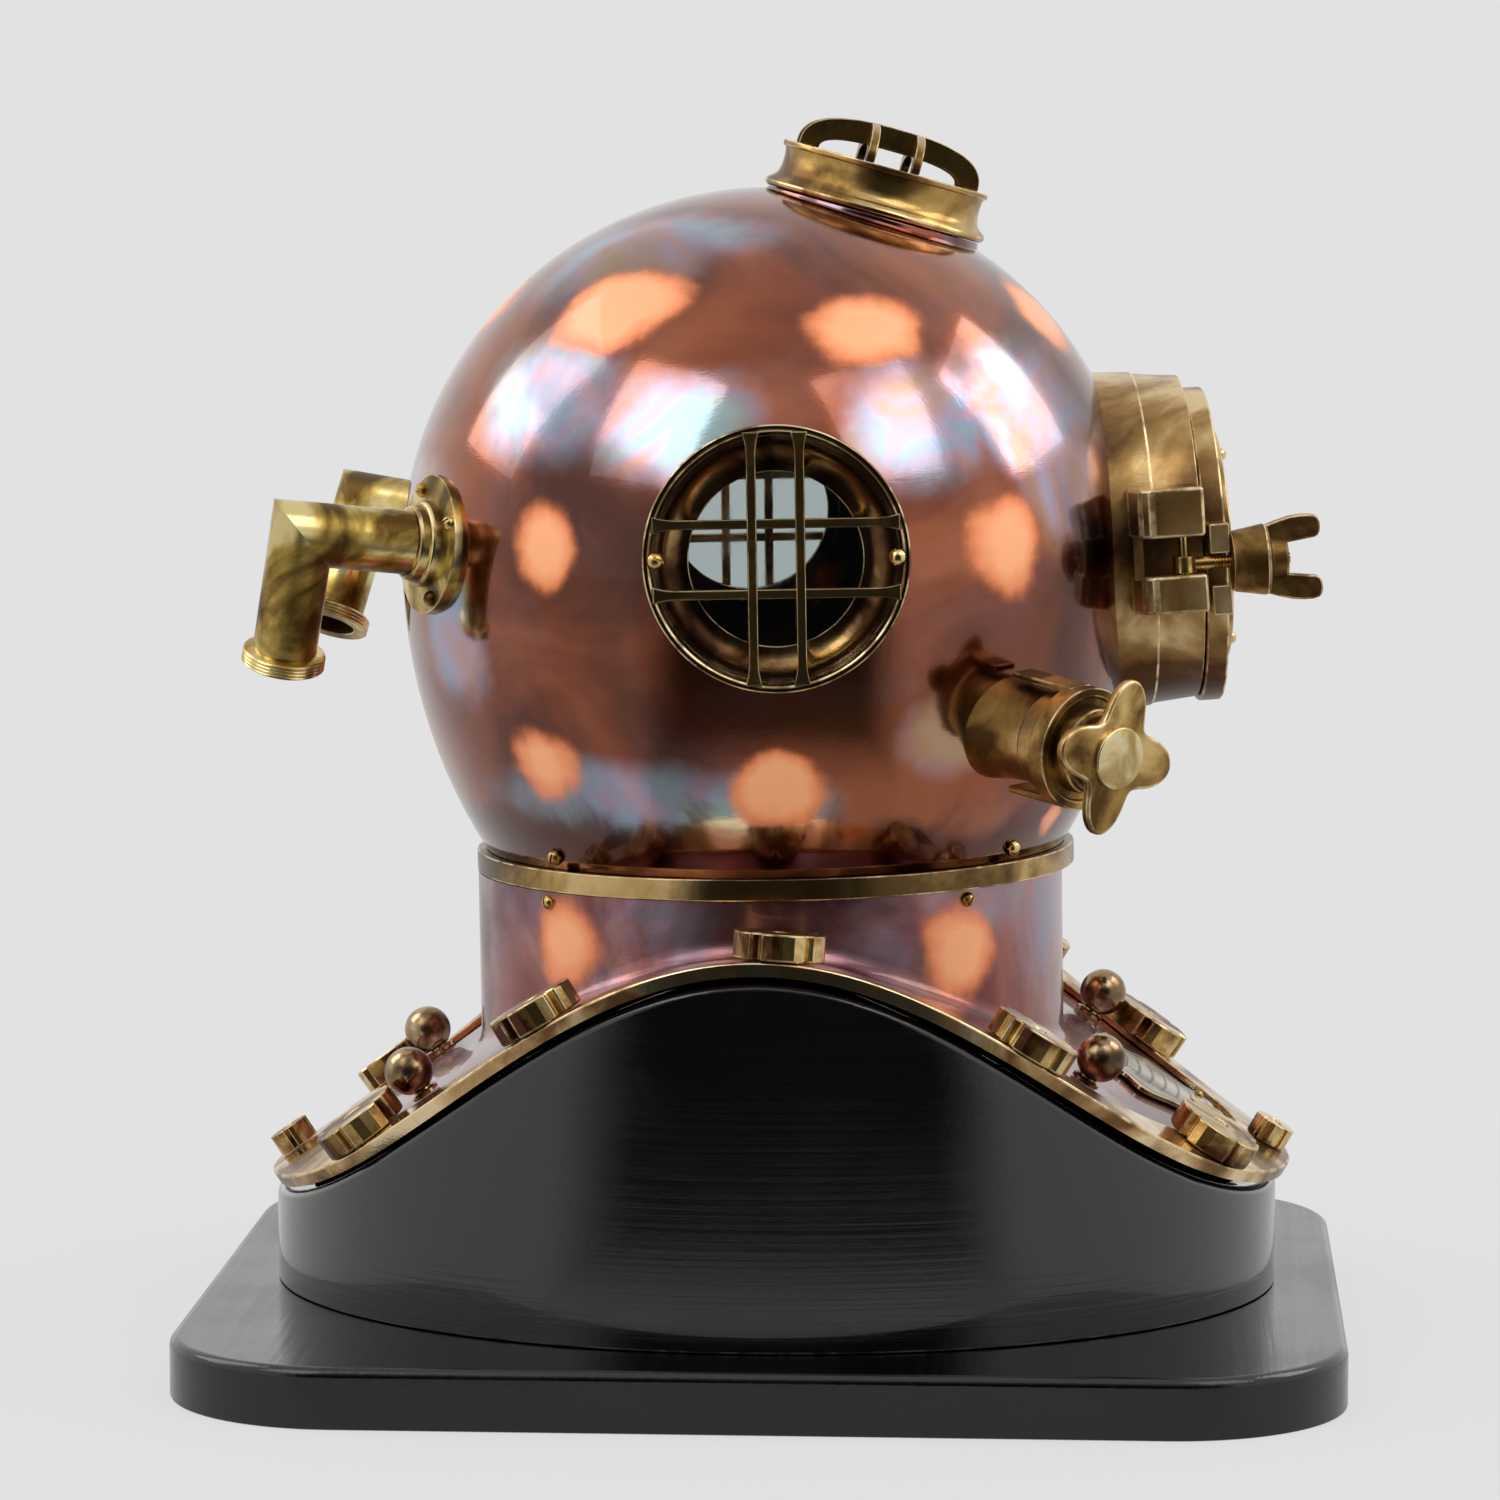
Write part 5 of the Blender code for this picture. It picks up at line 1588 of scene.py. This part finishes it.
@dataclass
class FrontWindow(Assembly):
    """The front window: its housing with the bolt's bracket, and the round door that swings on a hinge."""

    drop: float = 0.0038
    radius: float = 0.0673
    front: float = 0.1785
    door_thick: float = 0.0095
    bolt_x: float = -0.0800
    pivot_z: float = 0.1690
    hinge_x: float = 0.0765
    slot: tuple[float, float] = (-0.0095, 0.0063)
    fork: tuple[float, float] = (-0.0150, -0.0016)
    lug: float = 0.0124
    seat = facing(0.0, 2.8, Vector((0.0, 0.0, 0.3337)))

    @property
    def back(self) -> float:
        """The door's back face."""
        return self.front + 0.0006

    @property
    def face(self) -> float:
        """The door's front face."""
        return self.back + self.door_thick

    def housing(self) -> Shape:
        """The housing's stepped wall, the bolt's bracket and one leaf of the hinge.

        Returns:
            The housing as one shape.
        """
        profile = [(0.0590, 0.1250), (0.0742, 0.1250), (0.0724, 0.1450), (0.0716, 0.1585), (0.0708, 0.1592),
                   (0.0690, self.front), (0.0590, self.front)]
        shape = Shape.turned(profile, 144).soften(0.0006, 2, 25)
        inside, lip, foot = -0.0640, self.front - 0.0004, 0.1475
        side = [(inside, 0.1470), (-0.0748, 0.1470), (-0.0835, 0.1512), (-0.0865, 0.1560), (-0.0865, lip),
                (inside, lip)]
        for low, high in ((-0.0255, self.slot[0]), (self.slot[1], 0.0270)):
            shape.take(Shape.prism(side, -high, -low).soften(0.0016, 4, 20), spun(90, "X"))
        low, high = self.slot[0] - 0.001, self.slot[1] + 0.001
        shape.take(Shape.block((-0.0728, inside), (low, high), (foot, self.front - 0.0008)))
        shape.take(Shape.block((-0.0863, -0.0700), (low, high), (foot, 0.1515)))
        leaf = Shape.block((self.hinge_x - 0.0060, self.hinge_x + 0.0040), (-0.0062, 0.0062),
                           (0.1500, self.back + 0.0030))
        return shape.take(leaf.soften(0.0006, 2)).take(self.knuckle(-0.0062, 0.0062))

    def knuckle(self, low: float, high: float) -> Shape:
        """One knuckle of the hinge, bored for the pin."""
        where = moved(self.hinge_x, 0, self.back + 0.0045) @ spun(-90, "X")
        return Shape.drum(0.0023, 0.0050, low, high, 32).soften(0.0004, 1).place(where)

    def door(self) -> Shape:
        """The door's ring with the fork for the bolt and its own two knuckles.

        Returns:
            The door.
        """
        back, face = self.back, self.face
        ring = [(0.0470, back), (self.radius, back), (self.radius, face), (0.0505, face),
                (0.0505, face - 0.0052), (0.0470, face - 0.0052)]
        shape = Shape.turned(ring, 144).soften(0.0009, 3).place(moved(0, -self.drop, 0))
        low, high = self.fork
        for near, far in ((high, high + self.lug), (low - self.lug, low)):
            lug = Shape.block((self.bolt_x - 0.0035, -0.0560), (near, far), (back + 0.0006, face - 0.0004))
            shape.take(lug.soften(0.0008, 3))
        for near, far in ((-0.0190, -0.0072), (0.0072, 0.0190)):
            arm = Shape.block((0.0600, self.hinge_x - 0.0020), (near, far), (back + 0.0014, back + 0.0080))
            shape.take(arm.soften(0.0006, 2)).take(self.knuckle(near, far))
        return shape

    def keeper(self) -> Shape:
        """The ring that keeps the glass in the door.

        Returns:
            The ring.
        """
        seat, top = self.face + GAP, self.face + 0.0042
        profile = [(0.0400, seat), (0.0495, seat), (0.0495, top), (0.0415, top), (0.0400, self.face + 0.0030)]
        return Shape.turned(profile, 120).soften(0.0006, 2, 30)

    def keeper_screws(self) -> Shape:
        """The six screws in the keeper.

        Returns:
            The six screws as one shape.
        """
        screws = Shape()
        for k in range(6):
            seat = spun(60.0 * k + 60.0) @ moved(0.0452, 0, self.face + 0.0043) @ spun(33.0 * k)
            screws.take(slotted_screw(0.0027, 20), seat)
        return screws

    def pin(self, x: float, z: float, low: float, high: float) -> Shape:
        """An upright pin with rounded ends."""
        return Shape.drum(0.0, 0.0020, low, high, 28).soften(0.0005, 2).place(moved(x, 0, z) @ spun(-90, "X"))

    def build(self) -> None:
        """Make the window's pieces."""
        lower = moved(0, -self.drop, 0)
        self.put("window_housing_casting", self.housing(), Look.HOUSING, "window_housing")
        self.put("window_door", self.door(), Look.HOUSING, "door")
        self.put("window_keeper", self.keeper().place(lower), Look.HOUSING, "glass_keeper")
        glass = Shape.drum(0.0, 0.0501, self.face - 0.0049, self.face - 0.0001)
        self.put("window_door_glass", glass.place(lower), Look.GLASS, "door_glass")
        self.put("keeper_screws", self.keeper_screws().place(lower), Look.GOLD)
        self.put("bracket_pin", self.pin(self.bolt_x, self.pivot_z, -0.0250, 0.0225), Look.GOLD, "bolt_pin")
        hinge = self.pin(self.hinge_x, self.back + 0.0045, -0.0200, 0.0200)
        self.put("door_hinge_pin", hinge, Look.GOLD, "hinge_pin")


@dataclass
class SwingBolt(Assembly):
    """The threaded bolt that keeps the door shut, and its wing nut."""

    drop: float = 0.0055
    radius: float = 0.0030
    pitch: float = 0.00125
    window: FrontWindow = field(default_factory=FrontWindow)
    body = Body.BOLT

    @property
    def seat(self) -> Matrix:
        """The bolt's frame, at its pin with +Z along the bolt."""
        return self.window.seat @ moved(self.window.bolt_x, -self.drop, self.window.pivot_z)

    @property
    def nut_seat(self) -> float:
        """Where the nut's underside stands."""
        return self.window.face - self.window.pivot_z

    def bolt(self) -> Shape:
        """The rod with its thread and its eye.

        Returns:
            The bolt.
        """
        start, end, rod = self.nut_seat - 0.0080, self.nut_seat + 0.0245, self.radius - 0.0002
        profile = [(0.0, 0.0024), (rod, 0.0024), (rod, start)]
        for k in range(int((end - 0.0008 - start) / self.pitch)):
            height = start + k * self.pitch
            profile += [(self.radius, height + 0.35 * self.pitch), (self.radius, height + 0.55 * self.pitch),
                        (self.radius - 0.0006, height + 0.95 * self.pitch)]
        profile += [(self.radius - 0.0008, end), (0.0, end)]
        eye = Shape.drum(0.0023, 0.0050, -0.0035, 0.0035, 32).soften(0.0004, 2)
        return Shape.turned(profile, 28).take(eye, spun(-90, "X"))

    def nut(self) -> Shape:
        """The conical hub and two flat ears.

        Returns:
            The nut.
        """
        hub = [(0.0034, 0.0), (0.0122, 0.0), (0.0128, 0.0012), (0.0148, 0.0128), (0.0149, 0.0142),
               (0.0140, 0.0152), (0.0092, 0.0166), (0.0086, 0.0174), (0.0080, 0.0228), (0.0074, 0.0235),
               (0.0034, 0.0235)]
        ear = [(0.0130, 0.0040), (0.0185, 0.0054), (0.0235, 0.0064), (0.0300, 0.0073), (0.0350, 0.0080),
               (0.0364, 0.0087), (0.0372, 0.0100), (0.0376, 0.0120), (0.0375, 0.0142), (0.0370, 0.0158),
               (0.0360, 0.0170), (0.0335, 0.0177), (0.0295, 0.0178), (0.0250, 0.0174), (0.0190, 0.0158),
               (0.0130, 0.0138)]
        shape = Shape.turned(hub, 72).soften(0.0004, 2, 30)
        for sign in (1, -1):
            outline = [(along, sign * across) for along, across in ear]
            shape.take(Shape.prism(outline, -0.0027, 0.0027).soften(0.0009, 3, 50), spun(-90, "Y"))
        return shape.place(moved(0, 0, self.nut_seat))

    def build(self) -> None:
        """Make both pieces."""
        self.put("threaded_swing_bolt", self.bolt(), Look.GOLD, "swing_bolt")
        self.put("eared_wing_nut", self.nut(), Look.CAST, "wing_nut", body=Body.NUT)


# The valve and the air fittings


@dataclass
class ExhaustValve(Assembly):
    """The exhaust valve: its flared body, the capped head and the lobed knob."""

    radius: float = 0.0190
    spin: float = -13.0
    button: float = 0.0129
    seat = facing(51.0, -7.5, Vector((-0.1188, -0.0915, 0.2742)))

    def chamber(self) -> Shape:
        """The body, flaring to a foot on the copper, with a collar near its head.

        Returns:
            The valve's body.
        """
        bore, r = 0.0110, self.radius
        profile = [(bore, -0.0300), (r + 0.0052, -0.0300), (r + 0.0042, -0.0080), (r + 0.0024, 0.0020),
                   (r + 0.0008, 0.0120), (r + 0.0002, 0.0200), (r, 0.0258), (r + 0.0008, 0.0262),
                   (r + 0.0016, 0.0272), (r + 0.0016, 0.0380), (bore, 0.0380)]
        return Shape.turned(profile, 96).soften(0.0005, 2, 28)

    def cap(self) -> Shape:
        """The cap with its stepped rim and the two fingers that hold it.

        Returns:
            The cap with its fingers.
        """
        profile = [(0.0062, 0.0383), (0.0254, 0.0383), (0.0254, 0.0468), (0.0218, 0.0468), (0.0210, 0.0450),
                   (0.0182, 0.0450), (0.0177, 0.0520), (0.0156, 0.0532), (0.0062, 0.0532)]
        shape = Shape.turned(profile, 96).soften(0.0006, 2, 28)
        for spin in (94.0, 274.0):
            finger = Shape.block((0.0226, 0.0254), (-0.0058, 0.0058), (0.0070, 0.0420))
            shape.take(finger.soften(0.0008, 3), spun(spin))
        return shape

    def knob(self) -> Shape:
        """The flat knob with four round lobes, its hub and its spindle.

        Returns:
            The knob with its spindle.
        """
        outline = []
        for k in range(96):
            angle = math.tau * k / 96
            reach = 0.0250 + 0.0072 * math.cos(4 * angle)
            outline.append((reach * math.cos(angle), reach * math.sin(angle)))
        hub = [(0.0, 0.0420), (0.0054, 0.0420), (0.0054, 0.0536), (0.0100, 0.0536), (0.0112, 0.0552),
               (0.0112, 0.0612), (0.0, 0.0612)]
        shape = Shape.prism(outline, 0.0603, 0.0645).soften(0.0014, 4, 60).place(spun(self.spin))
        return shape.take(Shape.turned(hub, 48).soften(0.0004, 2))

    def domed_button(self) -> Shape:
        """The domed button in the knob's middle.

        Returns:
            The button.
        """
        profile = [(0.0, 0.0630), (self.button, 0.0630), (self.button, 0.0660)]
        profile += [(self.button * math.cos(a), 0.0660 + 0.0014 * math.sin(a)) for a in (0.3, 0.7, 1.1, 1.4)]
        return Shape.turned(profile + [(0.0, 0.0674)], 64).soften(0.0004, 2, 35)

    def build(self) -> None:
        """Make the valve's pieces."""
        self.put("exhaust_valve_body", self.chamber(), Look.CAST, "exhaust_body")
        self.put("exhaust_valve_cap", self.cap(), Look.CAST, "exhaust_cap")
        self.put("exhaust_lobed_knob", self.knob(), Look.CAST, "exhaust_knob", body=Body.KNOB)
        self.put("exhaust_knob_button", self.domed_button(), Look.BUTTON, body=Body.KNOB)


@dataclass
class AirElbow(Assembly):
    """An air elbow: a screwed flange, a level tube and a mitred tube pointing down to a ringed mouth."""

    side: Side
    face: float = 0.1600
    flange_radius: float = 0.0292
    reach: float = 0.0562
    drop: float = 0.0593
    fold: float = math.radians(4.9)
    radius: float = 0.0134
    bore: float = 0.0113
    turns = {Side.RIGHT: (-22.9, 7.2, -20.6), Side.LEFT: (34.8, 6.7, 28.0)}  # turn, lift and swing, degrees

    @property
    def stem(self) -> Matrix:
        """The elbow's frame in the bonnet's, before it swings."""
        turn, lift, _ = self.turns[self.side]
        return facing(180.0 + turn, lift, Vector((0.0, 0.0, 0.3294)))

    @property
    def seat(self) -> Matrix:
        """The elbow's frame in the bonnet's."""
        return self.stem @ spun(self.turns[self.side][2])

    def flange(self) -> Shape:
        """The round flange and the stepped hub on it.

        Returns:
            The flange with its screws.
        """
        face = self.face
        profile = [(0.0120, 0.1400), (self.flange_radius, 0.1400), (self.flange_radius, face),
                   (0.0182, face + 0.0006), (0.0178, face + 0.0040), (0.0172, face + 0.0048),
                   (0.0160, face + 0.0052), (0.0156, face + 0.0084), (0.0148, face + 0.0092),
                   (0.0120, face + 0.0092)]
        shape = Shape.turned(profile, 96).soften(0.0006, 2, 30)
        for k in range(4):
            seat = spun(45.0 + 90.0 * k) @ moved(0.0243, 0, face + 0.0004) @ spun(40.0 * k + 15.0)
            shape.take(slotted_screw(0.0032, 20), seat)
        return shape

    def tube(self, where: Matrix, length: float, mitre: Vector, corner: Vector) -> Shape:
        """A straight tube of the elbow, cut square at one end and on the mitre at the other.

        Args:
            where: the tube's frame, with +Z along it.
            length: how far it reaches.
            mitre: the way that the mitre's plane faces.
            corner: a point of that plane.

        Returns:
            The tube.
        """
        shape = Shape.drum(self.bore, self.radius, -0.03, length, 64).place(where)
        everything = shape.mesh.verts[:] + shape.mesh.edges[:] + shape.mesh.faces[:]
        bmesh.ops.bisect_plane(shape.mesh, geom=everything, dist=SAME, plane_co=corner, plane_no=mitre,
                               clear_outer=True)
        return shape

    def mouth(self) -> Shape:
        """The grooved ring at the elbow's mouth.

        Returns:
            The ring.
        """
        low, high, out = self.drop - 0.0068, self.drop, self.radius + 0.0040
        profile = [(self.bore, low), (self.radius + 0.0004, low), (out - 0.0010, low + 0.0007),
                   (out, low + 0.0015)]
        for k in range(3):
            height = low + 0.0022 + 0.0015 * k
            profile += [(out, height), (out - 0.0005, height + 0.0003), (out - 0.0005, height + 0.0005),
                        (out, height + 0.0008)]
        return Shape.turned(profile + [(out, high), (self.bore, high)], 72).soften(0.0004, 1, 40)

    def build(self) -> None:
        """Make the elbow."""
        out, down = Vector((0, 0, 1)), Vector((0, -math.cos(self.fold), -math.sin(self.fold)))
        bend = Vector((0, 0, self.face + self.reach))
        halfway = (down + out).normalized()
        level = self.tube(moved(0, 0, 0.1700), 0.1, halfway, bend)
        falling = Matrix.Translation(bend) @ out.rotation_difference(down).to_matrix().to_4x4()
        lower = self.tube(falling, self.drop - 0.0005, -halfway, bend)
        shape = self.flange().take(level).take(lower).take(self.mouth(), falling)
        self.put(f"{self.side.word}_air_elbow", shape, Look.ELBOW, f"elbow_{self.side.word}")


# The room


@dataclass
class Studio:
    """A pale floor, four soft lights round the helmet and the camera."""

    backdrop: float = 0.76
    room_light: float = 0.76
    soft_light: float = 0.95
    gloom: tuple[float, float] = (0.72, 0.90)
    floor_radius: float = 7.0
    lens: float = 148.0
    distance: float = 1.9
    boxes: tuple[tuple[float, float, float, float, float, float], ...] = (
        (-0.795, 0.587, -0.150, 1.00, 1.20, 7.0), (-0.537, 0.591, 0.602, 1.00, 1.15, 5.5),
        (0.508, 0.610, 0.609, 0.95, 1.15, 5.0), (0.80, 0.56, -0.05, 1.00, 1.00, 8.5))
    right = Vector((0.061223, -0.998124, 0.0))
    up = Vector((0.110342, 0.006768, 0.993871))
    towards = Vector((-0.992006, -0.060847, 0.110550))

    def camera(self) -> None:
        """Place the camera."""
        data = bpy.data.cameras.new("camera")
        data.lens, data.sensor_width = self.lens, 36.0
        data.clip_end = 50.0
        camera = bpy.data.objects.new("camera", data)
        show(camera)
        turn = Matrix((self.right, self.up, self.towards)).transposed().to_4x4()
        camera.matrix_world = moved(-2.63200, -0.15027, 0.54649) @ turn
        bpy.context.scene.camera = camera

    def lights(self) -> None:
        """Hang the soft boxes, given by their places along the camera's right, up and back."""
        for k, (right, up, back, wide, high, power) in enumerate(self.boxes, start=1):
            way = (self.right * right + self.up * up + self.towards * back).normalized()
            data = bpy.data.lights.new(f"soft box {k}", "AREA")
            data.shape, data.size, data.size_y, data.energy = "RECTANGLE", wide, high, power
            lamp = bpy.data.objects.new(f"soft box {k}", data)
            show(lamp)
            turn = way.to_track_quat("Z", "Y").to_matrix().to_4x4()
            lamp.matrix_world = Matrix.Translation(BALL + way * self.distance) @ turn

    def dimmed(self, graph: Graph, way: Socket, bright: float, dark: float) -> Socket:
        """Light that falls off towards the camera's side of the room.

        Args:
            graph: the graph it is made in.
            way: the direction looked in.
            bright: the light on the far side.
            dark: the light on the camera's side.

        Returns:
            The light's strength.
        """
        share = graph.vector_math("DOT_PRODUCT", {0: way, 1: tuple(self.towards)}).outputs["Value"]
        return graph.span(share, *self.gloom, bright, dark)

    def seen_as(self, graph: Graph, light: Socket) -> tuple[Socket, Socket]:
        """The plain backdrop to the camera, and a room's light to everything else.

        Args:
            graph: the graph it is made in.
            light: what mirrors see.

        Returns:
            What tells the camera's rays, and the strength.
        """
        path = graph.add("LightPath").outputs
        lit = graph.larger(light, graph.product(path["Is Diffuse Ray"], self.soft_light))
        return path["Is Camera Ray"], graph.blend(path["Is Camera Ray"], lit, self.backdrop)

    def world(self) -> None:
        """Set a plain backdrop that is dimmer on the camera's side of the room."""
        world = bpy.data.worlds.new("room")
        world.use_nodes = True
        bpy.context.scene.world = world
        graph = Graph(world.node_tree)
        way = graph.add("TexCoord").outputs["Generated"]
        height = graph.add("SeparateXYZ", {0: way}).outputs["Z"]
        level = self.dimmed(graph, way, self.room_light, 0.015)
        lit = graph.larger(level, graph.span(height, 0.25, 0.9, 0.0, 0.45))
        graph.dress(graph.tree.nodes["Background"], {"Strength": self.seen_as(graph, lit)[1],
                                                     "Color": (1.0, 1.0, 1.0, 1.0)})

    def floor(self) -> None:
        """Lay the floor, which fades into the backdrop with distance."""
        shape = Shape()
        bmesh.ops.create_circle(shape.mesh, cap_ends=True, segments=96, radius=self.floor_radius)
        data = shape.as_mesh("floor")
        shape.mesh.free()
        material, graph, shader, vector = new_material("floor paper")
        far = graph.vector_math("LENGTH", {0: vector}).outputs["Value"]
        way = graph.vector_math("NORMALIZE", {0: vector}).outputs["Vector"]
        mirrored = self.dimmed(graph, way, 0.8 * self.room_light, 0.02)
        mirrored = graph.larger(mirrored, graph.span(far, 0.36, 0.60, 0.55, 0.0))
        seen, strength = self.seen_as(graph, mirrored)
        grain = graph.noise(vector, 400.0, 2.0)
        tone = graph.ramp(grain, [(0.3, (0.62, 0.62, 0.62)), (0.7, (0.65, 0.65, 0.65))])
        graph.dress(shader, {"Base Color": graph.mix(seen, (0.30, 0.30, 0.30), tone), "Roughness": 0.9,
                             "Specular IOR Level": 0.1})
        glow = graph.add("Emission", {"Color": (1.0, 1.0, 1.0, 1.0), "Strength": strength})
        fade = graph.span(far, 0.30, 1.1, 0.80, 1.0)
        both = graph.add("MixShader", {0: fade, 1: shader.outputs[0], 2: glow.outputs[0]})
        graph.dress(graph.tree.nodes["Material Output"], {"Surface": both.outputs[0]})
        data.materials.append(material)
        floor = bpy.data.objects.new("floor", data)
        show(floor)

    def build(self) -> None:
        """Set the room up."""
        bpy.context.scene.view_settings.view_transform = "Standard"
        self.camera()
        self.lights()
        self.world()
        self.floor()


def main() -> None:
    """Build the helmet on its stand, piece by piece, then the room."""
    logging.basicConfig(level=logging.INFO, format="%(message)s")
    windows = [SideWindow(Side.RIGHT), SideWindow(Side.LEFT), TopWindow(), FrontWindow()]
    fittings = [SwingBolt(), ExhaustValve(), AirElbow(Side.RIGHT), AirElbow(Side.LEFT)]
    for builder in [Stand(), Corselet(), Bonnet(), *windows, *fittings, Studio()]:
        LOG.info("%s", type(builder).__name__)
        builder.build()


if __name__ == "__main__":
    main()
